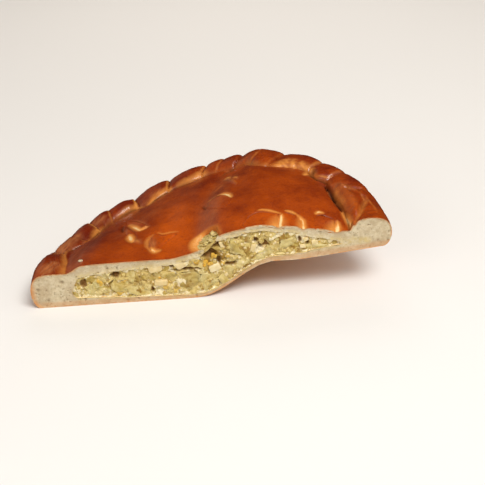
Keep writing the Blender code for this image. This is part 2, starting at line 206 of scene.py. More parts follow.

# Marks on the baked top: the path in mm, its half-width, rise, paleness and darkness; the darkness
# is painted shade in the cracks, grooves and wrinkles
MARKS = (
    # the crack at the foot of the raised edge, its darkness painted shade, and the pale fold it
    # runs into
    (((84, 54), (85, 45), (86.6, 36.6), (88.4, 27), (90.7, 20)), 1.3, -3.2, 0, 1),
    (((90, 20.5), (92, 12), (93.2, 5), (93, 1)), 1.9, -1, 1, 0),
    (((94, 5), (92.8, 1), (92.4, -1)), 0.9, -1.5, 0, 0.7),
    # the fold lying inside the raised edge
    (((92, 42), (95.5, 30), (98, 20), (97.5, 11)), 5.5, 2.8, 0.14, 0),
    (
        ((104.6, 31.5), (107.4, 24.6), (103.5, 17), (100.3, 9.5), (95.7, 2), (95.3, -1)),
        1.9, -2.4, 0.42, 0,
    ),
    (((107, 27.5), (104.6, 20.5), (101.6, 13)), 0.8, -0.6, 0, 0.35),
    (((93, 40), (97, 37.5), (102, 36), (105.5, 31)), 1.3, 1, 0.25, 0),
    # the notch where the edge folds under
    (((70.8, 66), (73, 69), (74.5, 73)), 1.9, -0.8, 1, 0),
    (((77, 64.5), (77.5, 68), (78, 72)), 2, -2.2, 0.3, 0.6),
    (((79, 62.2), (86.7, 59), (93.9, 59.5)), 0.9, -0.5, 0.5, 0),
    # the blister and the wrinkles below it; the two pale spots on the blister are painted
    # highlights
    (((16.2, 84), (19, 76), (21, 71), (23, 62)), 1.3, 0.9, 0.25, 0),
    (((15.4, 87), (17.4, 83.5), (18.4, 80)), 1.5, 0.5, 1.1, 0),
    (((21.2, 79), (23.6, 75)), 1.2, 0.4, 0.8, 0),
    (((14.6, 82), (17.6, 76.5), (21, 73)), 0.7, -0.5, 0, 0.5),
    (((13.8, 98), (16.5, 102.6), (26, 104.3)), 1.1, -0.9, 0.2, 0.6),
    (((6.4, 68), (11.8, 74), (15.2, 70.3)), 0.9, 0.4, 0.25, 0),
    (((-3, 53.5), (-1.8, 50), (-0.6, 46)), 1, -0.9, 0, 0.7),
    # round the leaves on the left
    (((-56.9, 62.6), (-54.4, 64.4), (-49.8, 60.4), (-45.3, 53.4), (-41, 46.2)), 0.9, -0.4, 0.25, 0),
    (((-55.8, 56.5), (-51.6, 49), (-47.4, 42.6), (-44.2, 44), (-41, 46.2)), 2.2, -0.7, 0.94, 0),
    (((-54.5, 61.5), (-50.5, 58), (-46.5, 52.5)), 0.7, -0.5, 0, 0.35),
    (((-59.5, 58), (-60.2, 51), (-59.2, 43)), 1, -1.3, 0, 0.9),
    (((-57.2, 54.5), (-53.6, 45.4), (-49.9, 39.3)), 0.9, -0.8, 0, 0.55),
    (((-54.6, 37), (-53.4, 31), (-52.2, 24.5)), 2.8, -0.6, 1.15, 0),
    (((-50.6, 29.5), (-47.4, 22.6)), 1.2, 0.5, 0.3, 0),
    # round the inner leaf on the left
    (((-35.2, 33.4), (-31.1, 29.8), (-26.3, 30.2), (-20.8, 29)), 1, -0.2, 0.6, 0),
    (((-35.4, 31), (-31.1, 27.3), (-26.3, 27.6), (-21.6, 27)), 0.8, -0.8, 0, 0.65),
    (((-37, 32.4), (-40.6, 28.5), (-42.4, 23), (-42, 16), (-39.5, 10.5)), 1.6, -0.6, 0.55, 0),
    (((-40.5, 14), (-37, 9.5), (-32.5, 10.5)), 2.3, -0.4, 0.95, 0),
    (((-38.6, 27), (-39, 20), (-37.6, 15)), 0.7, -0.6, 0.1, 0.3),
    (((-36.2, 25), (-36.6, 18), (-34.6, 14)), 0.7, -0.5, 0.1, 0.2),
    (((-33.6, 23), (-34, 18), (-32.4, 15)), 0.7, -0.3, 0.1, 0.1),
    # round the middle leaf
    (((0.2, 56), (5.5, 57.2), (10.4, 55.6)), 1, -0.3, 0.5, 0),
    (((7.4, 56.8), (12.4, 53.6), (15.4, 49.6), (17.6, 43.3)), 2.2, -0.5, 1.2, 0),
    (((1, 53), (6, 54.6), (10.5, 52.4)), 0.7, -0.7, 0, 0.5),
    (((-1.2, 50), (3, 46.5)), 1, -0.4, 0.2, 0.3),
    # round the leaves that the knife went through
    (((33, 17.4), (37, 17.4), (41, 16.1), (44.4, 14.8), (48.4, 13.2)), 1.3, 0.2, 0.95, 0),
    (((25, 10.5), (31, 14.4), (34.8, 14.9), (39.3, 13.7), (45, 11.6)), 0.9, -0.9, 0, 0.8),
    (((48.2, 12.4), (47.6, 8), (46.2, 2), (45, -8)), 2.1, -0.6, 1.15, 0),
    (((47.6, 10), (45.4, 4), (42.4, -2), (39, -10)), 5, -1, 0.8, 0),
    (((51, 16.8), (54.5, 15.4), (58.8, 12.2)), 1.3, 0.2, 0.95, 0),
    (((49.5, 13.2), (52.6, 13.8), (57, 11.6)), 0.9, -0.8, 0, 0.75),
    (((58.8, 12.4), (61.8, 7), (61.6, 1), (61, -8)), 1.8, -0.6, 1.15, 0),
    (((59.6, 9), (60.4, 3), (59, -8)), 3.2, -0.8, 0.75, 0),
    (((71, 13.4), (73.6, 15.7), (77.5, 15.2)), 1.5, 0.3, 1.05, 0),
    (((72, 12), (77, 12.2), (83, 10.2)), 0.9, -0.9, 0, 0.75),
    (((85.4, 9.8), (84.8, 4.6), (83.4, -1), (82, -8)), 2, -0.6, 1.15, 0),
    (((84.6, 8), (82.2, 2), (79, -3), (75, -10)), 4.6, -1, 0.75, 0),
    # wrinkles on the first crimps on the left
    (((-110.5, 3), (-107, 9), (-105, 16)), 0.7, -0.6, 0, 0.25),
    (((-108, 2), (-104.5, 8), (-102.5, 15)), 0.7, -0.6, 0, 0.2),
    (((-113, 5), (-110, 12), (-108, 19)), 0.7, -0.5, 0, 0.15),
    (((-106, 31), (-101, 42)), 0.8, -0.6, 0.1, 0.2),
    (((-103, 30), (-98.5, 40)), 0.8, -0.6, 0.1, 0.2),
    (((-104, 46), (-98, 56)), 0.8, -0.5, 0.1, 0.2),
    # the rim on the right
    (((101, 40), (105, 33), (109, 25)), 0.9, -0.5, 0.1, 0.25),
    (((104, 44), (109, 34), (112, 26)), 0.9, -0.4, 0.05, 0.2),
    (((108, 30), (111, 16), (111.5, 4)), 0.8, 0.5, 0.3, 0),
    (((112, 34), (114.5, 18), (115, 6)), 0.8, -0.4, 0, 0.2),
    (((100, 14), (104, 9), (107, 3)), 0.9, -0.5, 0.05, 0.2),
    (((98, 7), (101, 3), (102.5, -2)), 0.8, -0.4, 0.15, 0.15),
)

# Dough leaves, each as its upper and its lower edge from the stalk to the tip, in mm
LEAVES = {
    "leaf_left_back": (
        ((-57.8, 60), (-54.4, 63.7), (-49.8, 59.7), (-45.3, 52.9), (-41.3, 46)),
        ((-57.8, 60), (-55.6, 56.2), (-51.6, 48.4), (-47.3, 41.9), (-44.2, 43.6), (-41.3, 46)),
    ),
    "leaf_left_front": (
        ((-57.4, 53.2), (-53.8, 45.6), (-50.3, 39.4), (-49.3, 33), (-50.4, 27.6), (-52.3, 25.8)),
        ((-57.4, 53.2), (-58.2, 45.6), (-57, 38), (-54.5, 30), (-52.3, 25.8)),
    ),
    "leaf_left_inner": (
        (
            (-39.6, 10.4), (-40.9, 17.8), (-40.2, 26.5), (-37, 31), (-31.1, 27), (-26.5, 27.4),
            (-21.8, 27),
        ),
        ((-39.6, 10.4), (-36.4, 9.8), (-33, 13.6), (-29, 19), (-25, 23.2), (-21.8, 27)),
    ),
    "leaf_middle": (
        ((-0.9, 47), (1.7, 54), (5.6, 56), (10.2, 54.4), (14, 49.6), (17, 41.6)),
        ((-0.9, 47), (2, 41.5), (7.4, 34), (12.6, 31.4), (16.2, 35), (17, 41.6)),
    ),
    "leaf_right_inner": (
        ((21.5, 4), (26.8, 11.6), (31.2, 14.9), (35, 15.3), (39.6, 14.2), (46.6, 12)),
        ((21.5, 4), (24, -5), (32, -8), (40.5, -5), (44.8, 5), (46.6, 12)),
    ),
    "leaf_right_middle": (
        ((47, 10.5), (49.2, 13.6), (51.2, 14.6), (54.4, 13), (58.2, 9)),
        ((47, 10.5), (45.5, 3), (47, -6), (53, -8), (58.4, -4), (59.6, 3), (58.2, 9)),
    ),
    "leaf_right_outer": (
        ((69.8, 8.5), (72.6, 12.6), (75.6, 13.8), (79, 12.2), (83.6, 9.2)),
        ((69.8, 8.5), (69, 1), (71, -6), (76, -8), (80, -4), (82.4, 4), (83.6, 9.2)),
    ),
}
LEAF_HOLLOW = 1.3  # how far the crust is hollowed under a leaf, in mm

# The top's warm spots: x, y, half-width, half-depth, strength
WARM_SPOTS = ((-0.026, 0.030, 0.014, 0.022, 0.55), (-0.022, 0.066, 0.012, 0.020, 0.35))


def clamp(value):
    return np.clip(value, 0.0, 1.0)


def ease(value):
    """0 to 1 with level ends."""
    value = clamp(value)
    return value * value * (3.0 - 2.0 * value)


def fall(off, width):
    """1 where nothing is off, fading to 0 on both sides."""
    return np.exp(-((off / width) ** 2))


def mix(low, high, share):
    return low + (high - low) * share


def along(points, where):
    """Values at `where` on a smooth curve through a few (place, value) points, level where
    the points turn."""
    places, values = (np.array(column, float) for column in zip(*points))
    runs = np.diff(places)
    slopes = np.diff(values) / runs
    tangents = np.zeros_like(places)
    before, after = slopes[:-1], slopes[1:]
    rising = before * after > 0.0
    total = np.where(rising, before + after, 1.0)
    tangents[1:-1] = np.where(rising, 2.0 * before * after / total, 0.0)
    where = np.clip(where, places[0], places[-1])
    index = np.clip(np.searchsorted(places, where, side="right") - 1, 0, len(runs) - 1)
    run = runs[index]
    t = (where - places[index]) / run
    square = t * t
    cube = square * t
    return (
        values[index] * (2 * cube - 3 * square + 1)
        + tangents[index] * run * (cube - 2 * square + t)
        + values[index + 1] * (3 * square - 2 * cube)
        + tangents[index + 1] * run * (cube - square)
    )


def rough(x, y, z, size, seed=0.0):
    """Smooth unevenness from about -1 to 1 in bumps of about the given size. The seed only keeps
    the uses of it apart."""
    x, y, z = np.broadcast_arrays(x, y, z)
    flat = zip((x / size + seed).ravel(), (y / size).ravel(), (z / size).ravel())
    return np.array([noise.noise(spot) for spot in flat]).reshape(x.shape)


def ripples(x, y, *layers):
    """Unevenness added up from layers of (height in mm, size, seed)."""
    return sum(height * MM * rough(x, y, 0.0, size, seed) for height, size, seed in layers)


def place(radius, degrees):
    """Plan position at a radius and bearing about the pie's centre."""
    angle = np.radians(degrees)
    return radius * np.cos(angle), CUT_OFFSET + radius * np.sin(angle)


def bearing(x, y):
    degrees = np.degrees(np.arctan2(y - CUT_OFFSET, x))
    return np.where(degrees < -90.0, degrees + 360.0, degrees)


def facing(degrees):
    """The bearing that the tables are read at: the part in front of the cut repeats the ends."""
    return np.clip(degrees, FACING_START, FACING_END)


def belly(x, y):
    """Height of the underside away from the rim: flat, then lifted past the bend."""
    back = clamp(y / BACK_Y)
    start = BEND_START + BEND_LEAN * np.maximum(0.0, y)
    run = mix(BEND_RUN_AT_CUT, BEND_RUN_AT_BACK, back)
    lift = mix(LIFT_AT_CUT, LIFT_AT_BACK, back)
    end = END_SLOPE * np.maximum(0.0, x - END_SLOPE_START) * (1.0 - back)
    return lift * ease(clamp((x - start) / run) ** BEND_ONSET) + end


def underside(x, y):
    face = facing(bearing(x, y))
    rim_base = np.maximum(0.0, along(RIM_TOP, face) - along(RIM_THICKNESS, face))
    inward = RADIUS - np.hypot(x, y - CUT_OFFSET)
    curl = ease((CURL_START - inward) / (CURL_START - CURL_END)) * ease(y / CURL_FROM_CUT)
    return mix(belly(x, y), rim_base, curl)


def groove_radius(degrees):
    return along(RIM_INSIDE, facing(degrees))


def panel(x, y):
    """Height of the smooth top inside the rim."""
    across = np.clip(x, -PANEL_SIDE, PANEL_SIDE)
    far_y = CUT_OFFSET + np.sqrt(PANEL_REACH * PANEL_REACH - across * across)
    back = clamp(y / far_y)
    face = facing(bearing(across, far_y))
    far_height = along(RIM_TOP, face) - along(GROOVE_DEPTH, face)
    height = mix(along(CUT_TOP, x), far_height, back)
    dome = 4.0 * back * (1.0 - back) * ease((PANEL_REACH - np.abs(x)) / DOME_FADE)
    valley = fall(x - along(VALLEY, y), VALLEY_WIDTH) * ease(y / VALLEY_FADE)
    uneven = rough(x, y, 0.0, UNEVENNESS_SIZE) * ease(y / UNEVENNESS_FADE)
    return height + PANEL_DOME * dome - VALLEY_DEPTH * valley + UNEVENNESS * uneven


def slanted(degrees, outward):
    """The bearing halfway across the rim of the crease that a point would lie on."""
    return degrees + CREASE_SLANT * outward * ease((degrees - SLANT_START) / SLANT_RUN)


def crease_dip(degrees, outward):
    """How far the rim dips: nothing on a crimp's back, all its depth in a crease."""
    degrees = slanted(degrees, outward)
    starts, outside, inside = (np.array(column, float) for column in zip(*CREASES))
    index = np.clip(np.searchsorted(starts, degrees, side="right") - 1, 0, len(starts) - 2)
    share = clamp((degrees - starts[index]) / (starts[index + 1] - starts[index]))
    back = np.sin(np.pi * share**CREASE_SKEW) ** CREASE_SHARPNESS
    over = mix(inside[index], inside[index + 1], share)
    out = mix(outside[index], outside[index + 1], share)
    return mix(over, out, clamp(outward)) * (1.0 - back)


def pinch(degrees, across, radius):
    """Depth of the narrow pinches, and how strong the pale line beside and the line of painted
    shade in each of them are."""
    outward = clamp(1.0 - across) - clamp(across - 1.0)
    degrees = slanted(degrees, outward)
    depth, pale, painted_shade = 0.0, 0.0, 0.0
    for at, deep, reach, paleness in PINCHES:
        off = np.radians(degrees - at) * radius / MM
        off = off + 0.5 * rough(radius, at * MM + across * 0.004, 0.0, 0.004, at)
        held = ease((across - (1.9 - reach)) / 0.5)
        depth = np.maximum(depth, deep * MM * (fall(off, PINCH_WIDTH) * held))
        painted_shade = np.maximum(painted_shade, PINCH_DARK * min(1.0, deep) * fall(off, PINCH_DARK_WIDTH) * held)
        pale = np.maximum(pale, paleness * fall(off - PINCH_PALE_OFF, PINCH_PALE_WIDTH) * held)
    return depth, pale, painted_shade


def rim_surface(degrees, across):
    """Radius and height on the rim's outside: across runs from -1, under it, over 0, its
    widest, and 1, its top, to 2, the groove inside it."""
    face = facing(degrees)
    outer = RADIUS - along(RIM_INSET, face)
    base = underside(*place(outer - FOOT, degrees))
    top = along(RIM_TOP, face)
    width = outer - groove_radius(degrees)
    widest = base + RIM_ROUND * np.minimum(top - base, along(RIM_THICKNESS, face))
    dip = crease_dip(degrees, clamp(1.0 - across) - clamp(across - 1.0))
    angle = np.minimum(across, 1.0) * np.pi / 2.0
    side = np.cos(angle)
    under_radius = outer - FOOT * (1.0 - side**0.9) - 0.8 * dip * side
    under_height = widest + (widest - base) * np.sin(angle)
    over_radius = outer - RIM_SHARE * width * (1.0 - side**0.8) - 0.8 * dip * side
    lift = np.maximum(0.0, np.sin(angle))
    over_height = widest + (top - widest) * lift**0.9 - dip * lift
    inner = clamp(across - 1.0)
    edge = panel(*place(outer - width, degrees))
    slope_radius = outer - width * mix(RIM_SHARE, 1.0, inner)
    slope_height = mix(edge, top - dip * (1.0 - 0.5 * inner), (1.0 - inner**2.4) ** 0.7)
    radius = np.where(across <= 0.0, under_radius, over_radius)
    height = np.where(across <= 0.0, under_height, over_height)
    sloping = across > 1.0
    return np.where(sloping, slope_radius, radius), np.where(sloping, slope_height, height)


def to_stretch(x, y, start, end):
    """How far along a straight stretch points lie, from 0 to 1, and how far beside it."""
    (x0, y0), (x1, y1) = start, end
    dx, dy = x1 - x0, y1 - y0
    t = clamp(((x - x0) * dx + (y - y0) * dy) / max(1e-9, dx * dx + dy * dy))
    return t, np.hypot(x - x0 - t * dx, y - y0 - t * dy)


def stroke(x, y, path, half_width):
    """1 on a path drawn in plan, fading to 0 either side, thinner and weaker towards its ends."""
    near = np.zeros(np.shape(x))
    lengths = [math.dist(start, end) for start, end in zip(path, path[1:])]
    total, done = sum(lengths), 0.0
    for start, end, length in zip(path, path[1:], lengths):
        t, away = to_stretch(x, y, start, end)
        ends = np.sqrt(np.sin(np.pi * (done + t * length) / total).clip(0.0))
        width = half_width * (0.35 + 0.65 * ends)
        near = np.maximum(near, (0.45 + 0.55 * ends) * fall(away, width))
        done += length
    return near


def marks(x, y):
    """Rise, paleness and darkness that the marks give a point of the top; the darkness is painted
    shade.
    """
    x, y = np.asarray(x) / MM, np.asarray(y) / MM
    rise, pale, painted_shade = np.zeros((3, *x.shape))
    for path, half_width, lift, paleness, darkness in MARKS:
        (left, front), (right, back) = np.min(path, 0), np.max(path, 0)
        room = 3.0 * half_width
        near = (x > left - room) & (x < right + room) & (y > front - room) & (y < back + room)
        if not near.any():
            continue
        line = stroke(x[near], y[near], path, half_width)
        rise[near] += lift * MM * line
        pale[near] = np.maximum(pale[near], paleness * line)
        painted_shade[near] = np.maximum(painted_shade[near], darkness * line)
    return rise, pale, painted_shade


def inside_leaf(x, y, name):
    """How far inside a leaf's outline points lie, in mm; negative outside it."""
    x, y = np.asarray(x) / MM, np.asarray(y) / MM
    upper, lower = LEAVES[name]
    outline = tuple(upper) + tuple(reversed(lower[1:-1]))
    inside = np.zeros(x.shape, bool)
    nearest = np.full(x.shape, 1e3)
    for start, end in zip(outline, outline[1:] + outline[:1]):
        _, away = to_stretch(x, y, start, end)
        nearest = np.minimum(nearest, away)
        (x0, y0), (x1, y1) = start, end
        if y0 != y1:
            inside ^= ((y0 > y) != (y1 > y)) & (x < x0 + (y - y0) * (x1 - x0) / (y1 - y0))
    return np.where(inside, nearest, -nearest)


def leaf_over(spot):
    """Whether a leaf covers the crust at this point of the cut."""
    names = (name for name in LEAVES if "right" in name)
    return any(float(inside_leaf(spot.x, spot.y, name)) > 0.5 for name in names)


def under_leaves(x, y):
    """How far the crust is hollowed below the leaves."""
    hollow = np.zeros(np.shape(x))
    for name in LEAVES:
        share = ease((inside_leaf(x, y, name) - 0.3) / 1.2)
        hollow = np.maximum(hollow, LEAF_HOLLOW * MM * share)
    return hollow


def warmth(x, y):
    """Orange near the cut and over the raised right, red-brown towards the back and the left."""
    near_cut = fall(np.maximum(0.0, y), 0.028)
    right = ease((x + 0.02) / 0.05)
    back = ease((y - 0.05) / 0.05)
    warm = 0.24 + 0.21 * near_cut + 0.12 * right - 0.07 * back
    warm -= 0.03 * ease((np.hypot(x, y - CUT_OFFSET) - 0.094) / 0.012)
    warm -= 0.24 * ease((-0.055 - x) / 0.03) * (1.0 - 0.45 * near_cut)
    for at_x, at_y, wide, deep, more in WARM_SPOTS:
        warm += more * np.exp(-(((x - at_x) / wide) ** 2) - ((y - at_y) / deep) ** 2)
    warm -= 0.12 * ease((x - 0.062) / 0.02)
    return warm + 0.22 * rough(x, y, 0.0, 0.016, 4.0)


def streaks(x, y, size, seed):
    """Unevenness drawn out along the way the glaze was brushed."""
    return rough(x - 0.35 * y, y * 0.22, 0.0, size, seed)


def painted_sheen(x, y):
    """Where a pinkish painted sheen lies on the glaze, which is also rougher there."""
    x_mm, y_mm = np.asarray(x) / MM, np.asarray(y) / MM
    dull = np.zeros(x_mm.shape)
    for path, half_width, strength in PAINTED_SHEEN:
        dull = np.maximum(dull, strength * stroke(x_mm, y_mm, path, half_width))
    return clamp(dull * (0.75 + 0.9 * streaks(x, y, 0.0016, 61.0)))


# ---------------------------------------------------------------- the crust's mesh
FINE_STEPS = 420
COARSE_STEPS = 30
FINE_START = -15.0
FINE_END = 195.0
BOTTOM_STEPS = 14
UNDER_STEPS = 12
OVER_STEPS = 20
SLOPE_STEPS = 32
PANEL_STEPS = 62
LIP_STEPS = 9
CAVITY_STEPS = 16
CAVITY_END_STEPS = 8
# two of these layers hold painted light: the shade in creases and cracks, and the pinkish sheen
CRUST_PAINT = ("pale", "painted_shade", "warm", "glaze", "under", "painted_sheen")
RAW = 1.2  # the paleness of the dough inside the pie
MOTTLED_BEARING = 48.0  # where the crimps' pale faces are the most mottled
TORN_BEARING = 95.0  # from here on, the vent's lip is torn and pale
GLAZED = 0.5  # the marks lie only where the glaze is stronger
WEB_JITTER = 0.25
WEB_MARGIN = 0.45
MERGED = 1e-6


def steps(count, start=0.0, end=1.0):
    """Evenly spaced values in one row, the end left out."""
    return np.linspace(start, end, count, endpoint=False)[None, :]


def turn_bearings():
    """The bearings that the mesh is wrapped round: close together behind the cut."""
    front = steps(COARSE_STEPS, -90.0, FINE_START)[0]
    fine = steps(FINE_STEPS, FINE_START, FINE_END)[0]
    return np.concatenate([front, fine, np.linspace(FINE_END, 270.0, COARSE_STEPS)])


def stack(zones):
    """Joins the stations of each zone, one row for each bearing."""
    rows = max(zone[0].shape[0] for zone in zones)
    return [
        np.hstack([np.broadcast_to(zone[i], (rows, zone[0].shape[1])) for zone in zones])
        for i in range(len(zones[0]))
    ]


def zone(degrees, radius, height, pale=0.0, painted_shade=0.0, glaze=0.0, under=0.0):
    """The stations of one zone at every bearing: x, y, height and paint."""
    radius, height = np.broadcast_arrays(radius, height)
    items = (*place(radius, degrees), height, pale, painted_shade, glaze, under)
    return [np.broadcast_to(item, radius.shape) for item in items]


def crust_table(degrees):
    """Place and paint of every station at every bearing: x, y, z, then CRUST_PAINT."""
    degrees = degrees[:, None]
    face_bearing = facing(degrees)
    edge = groove_radius(degrees)
    outer = RADIUS - along(RIM_INSET, face_bearing)
    vent = along(VENT_REACH, degrees)
    foot_dark = along(FOOT_DARK, face_bearing)
    zones = []

    def add(radius, height, *paint, **more):
        zones.append(zone(degrees, radius, height, *paint, **more))

    share = steps(BOTTOM_STEPS)
    radius = (outer - FOOT) * share
    add(radius, underside(*place(radius, degrees)), under=1.0)

    under, over = steps(UNDER_STEPS, -1.0, 0.0), steps(OVER_STEPS)
    across = np.hstack([under, over, 1.0 + np.linspace(0.0, 1.0, SLOPE_STEPS + 1)[None, :] ** 0.8])
    radius, height = rim_surface(degrees, across)
    across = np.broadcast_to(across, radius.shape)
    x, y = place(radius, degrees)
    depth, pale, painted_shade = pinch(degrees, across, radius)
    face = along([row[:2] for row in PALE_INSIDE], face_bearing)
    up = along([row[::2] for row in PALE_INSIDE], face_bearing)
    up = up * (1.0 + 0.3 * rough(x, y, 0.0, 0.005, 9.0))
    slope = ease((across - 2.0 + up + 0.3) / 0.75) ** 1.3
    patch = 0.5 + 0.5 * rough(x, y, height, 0.006, 9.0)
    spots = ease(0.5 + 2.2 * rough(x, y, height, 0.0028, 10.0))
    mottled = fall(face_bearing - MOTTLED_BEARING, 9.0)
    paler = face * slope * (0.45 + 0.6 * patch) * (1.0 - 0.55 * mottled * spots)
    pale = np.maximum(pale, paler)
    foot = fall(2.0 - across, 0.05)
    # painted shade along the foot of the crimps
    painted_shade = np.maximum(painted_shade, foot_dark * foot)
    height = height - depth * ease((across - 0.2) / 0.6) - FOOT_LINE_DEPTH * MM * foot * foot_dark
    radius = radius - 0.6 * depth * np.clip(1.0 - np.abs(across), 0.0, 1.0)
    lumps = 0.5 * rough(x, y, height, 0.011, 2.0) + 0.20 * rough(x, y, height, 0.004, 5.0)
    arc = np.radians(degrees) * radius
    folds = rough(arc + 0.002 * across, across * 0.003, 0.0, 0.0022, 71.0)
    folds = folds * (0.14 + 0.40 * ease((np.abs(face_bearing - 90.0) - 55.0) / 20.0))
    lumps = lumps + folds * ease((across - 0.2) / 0.5)
    height = height + lumps * MM * ease((across + 0.2) / 0.5) * ease((2.0 - across) / 0.3)
    glaze = ease((across + 0.55) / 0.6) * (1.0 - 0.45 * foot)
    add(radius, height, pale, painted_shade, glaze, ease((-0.35 - across) / 0.4))

    share = np.linspace(0.0, 1.0, PANEL_STEPS + 1)[1:][None, :]
    radius = mix(edge, vent, share)
    x, y = place(radius, degrees)
    foot = fall(edge - radius, 1.1 * MM)
    lip = fall(radius - vent, 1.6 * MM)
    waves = 0.22 * rough(x, y, 0.0, 0.012, 7.0) + 0.06 * rough(x, y, 0.0, 0.004, 8.0)
    pressed = FOOT_LINE_DEPTH * MM * foot * foot_dark
    height = panel(x, y) - pressed + waves * MM - under_leaves(x, y)
    torn_side = ease((degrees - TORN_BEARING) / 35.0)
    # painted shade along the panel's edge at the crimps' foot
    add(radius, height, mix(0.2, 0.75, torn_side) * lip, 0.6 * foot * foot_dark, 1.0 - 0.45 * foot)

    edge_height = panel(*place(vent, degrees))
    roof = cavity_top(*place(vent, degrees))
    share = np.linspace(0.0, 1.0, LIP_STEPS + 2)[1:-1][None, :]
    torn = along(VENT_LIP, degrees) * np.sin(np.pi * share) ** 0.8
    x, y = place(vent - torn, degrees)
    torn = torn * (1.0 + 0.25 * rough(x, y, 0.0, 0.003, 15.0))
    droop = mix(edge_height, roof, ease(share * 1.15))
    droop = droop + 0.5 * MM * rough(x, y, 0.0, 0.0025, 16.0) * np.sin(np.pi * share)
    pale = mix(0.35, 0.86, torn_side) * mix(1.0, 1.3, share)
    add(vent - torn, droop, pale, glaze=0.5 * (1.0 - share))

    reach = cavity_reach(degrees)
    share = np.linspace(0.0, 1.0, CAVITY_STEPS + 1)[None, :]
    radius = mix(vent, reach, share)
    add(radius, cavity_top(*place(radius, degrees)), RAW)
    add(*cavity_end(degrees, reach, 0.0, downwards=True), RAW)
    radius = reach * (1.0 - share)
    add(radius, cavity_bottom(*place(radius, degrees)), RAW)

    x, y, z, pale, painted_shade, glaze, under = stack(zones)
    top = glaze > GLAZED
    rise, more_pale, more_dark = marks(x, y)
    z = z + np.where(top, rise, 0.0)
    pale = np.maximum(pale, np.where(top, more_pale, 0.0))
    painted_shade = np.maximum(painted_shade, np.where(top, more_dark, 0.0))
    # where the pinkish sheen is painted, on the glazed top only
    dull = np.where(top, painted_sheen(x, y), 0.0)
    brushed = 0.12 * MM * streaks(x, y, 0.0018, 63.0) * clamp(1.5 * dull)
    z = z + np.where(top, brushed, 0.0)
    return np.stack([x, y, z, pale, painted_shade, warmth(x, y), glaze, under, dull], axis=-1)


def cavity_top(x, y):
    wavy = ripples(x, y, (1.0, 0.007, 21.0), (0.8, 0.0028, 22.0))
    return panel(x, y) - along(TOP_DOUGH, x) + wavy


def cavity_bottom(x, y):
    wavy = ripples(x, y, (0.6, 0.006, 23.0), (0.4, 0.0028, 24.0))
    return underside(x, y) + along(BOTTOM_DOUGH, x) + wavy


def cavity_reach(degrees):
    return groove_radius(degrees) - FILLING_INSET


def cavity_end(degrees, reach, overlap, downwards):
    """Radius and height along the filling's end, which bulges out between the doughs, most near
    the bottom dough."""
    ends = (0.0, np.pi) if downwards else (np.pi, 0.0)
    level = np.cos(np.linspace(*ends, CAVITY_END_STEPS + 1))[1:-1][None, :]
    low = cavity_bottom(*place(reach, degrees)) - overlap
    high = cavity_top(*place(reach, degrees)) + overlap
    uneven = rough(np.radians(degrees) * 0.09, level * 0.006, 0.0, 0.005, 25.0)
    bulge = FILLING_ROUND * np.sqrt(1.0 - level * level) * (1.0 - 0.7 * level)
    return reach + bulge * (0.9 + 0.8 * uneven), mix(low, high, 0.5 + 0.5 * level)


def layers_of(bm, names):
    return [bm.verts.layers.float.get(name) or bm.verts.layers.float.new(name) for name in names]


def paint_verts(verts, layers, rows):
    """Gives each vertex its row of values, one for each layer."""
    for vert, row in zip(verts, rows):
        for layer, value in zip(layers, row):
            vert[layer] = value


def turned(table, names):
    """A mesh wrapped round the pie's centre, its points set to the table's places. Its seam lies
    in front of the cut, where it is cut away."""
    turns, stations = table.shape[:2]
    table[-1] = table[0]
    bm = bmesh.new()
    layers = layers_of(bm, names)
    bmesh.ops.create_grid(bm, x_segments=turns - 1, y_segments=stations - 1, size=0.5)
    rows = []
    for vert in bm.verts:
        turn = round((vert.co.x + 0.5) * (turns - 1))
        station = round((vert.co.y + 0.5) * (stations - 1))
        row = table[turn, station].tolist()
        vert.co = row[:3]
        rows.append(row[3:])
    paint_verts(bm.verts, layers, rows)
    bmesh.ops.remove_doubles(bm, verts=bm.verts, dist=MERGED)
    return bm


def cut_off(bm, level=0.0):
    """Takes away what lies in front of the knife's cut and leaves the cut open."""
    bmesh.ops.bisect_plane(
        bm,
        geom=bm.verts[:] + bm.edges[:] + bm.faces[:],
        dist=MERGED,
        plane_co=(0.0, level, 0.0),
        plane_no=(0.0, -1.0, 0.0),
        clear_outer=True,
    )


def within(points, starts, ends):
    """Whether each (x, z) point lies inside the closed outline made of the given edges."""
    inside = np.zeros(len(points), bool)
    for (x0, z0), (x1, z1) in zip(starts, ends):
        if z0 == z1:
            continue
        crosses = (z0 > points[:, 1]) != (z1 > points[:, 1])
        inside ^= crosses & (points[:, 0] < x0 + (points[:, 1] - z0) * (x1 - x0) / (z1 - z0))
    return inside


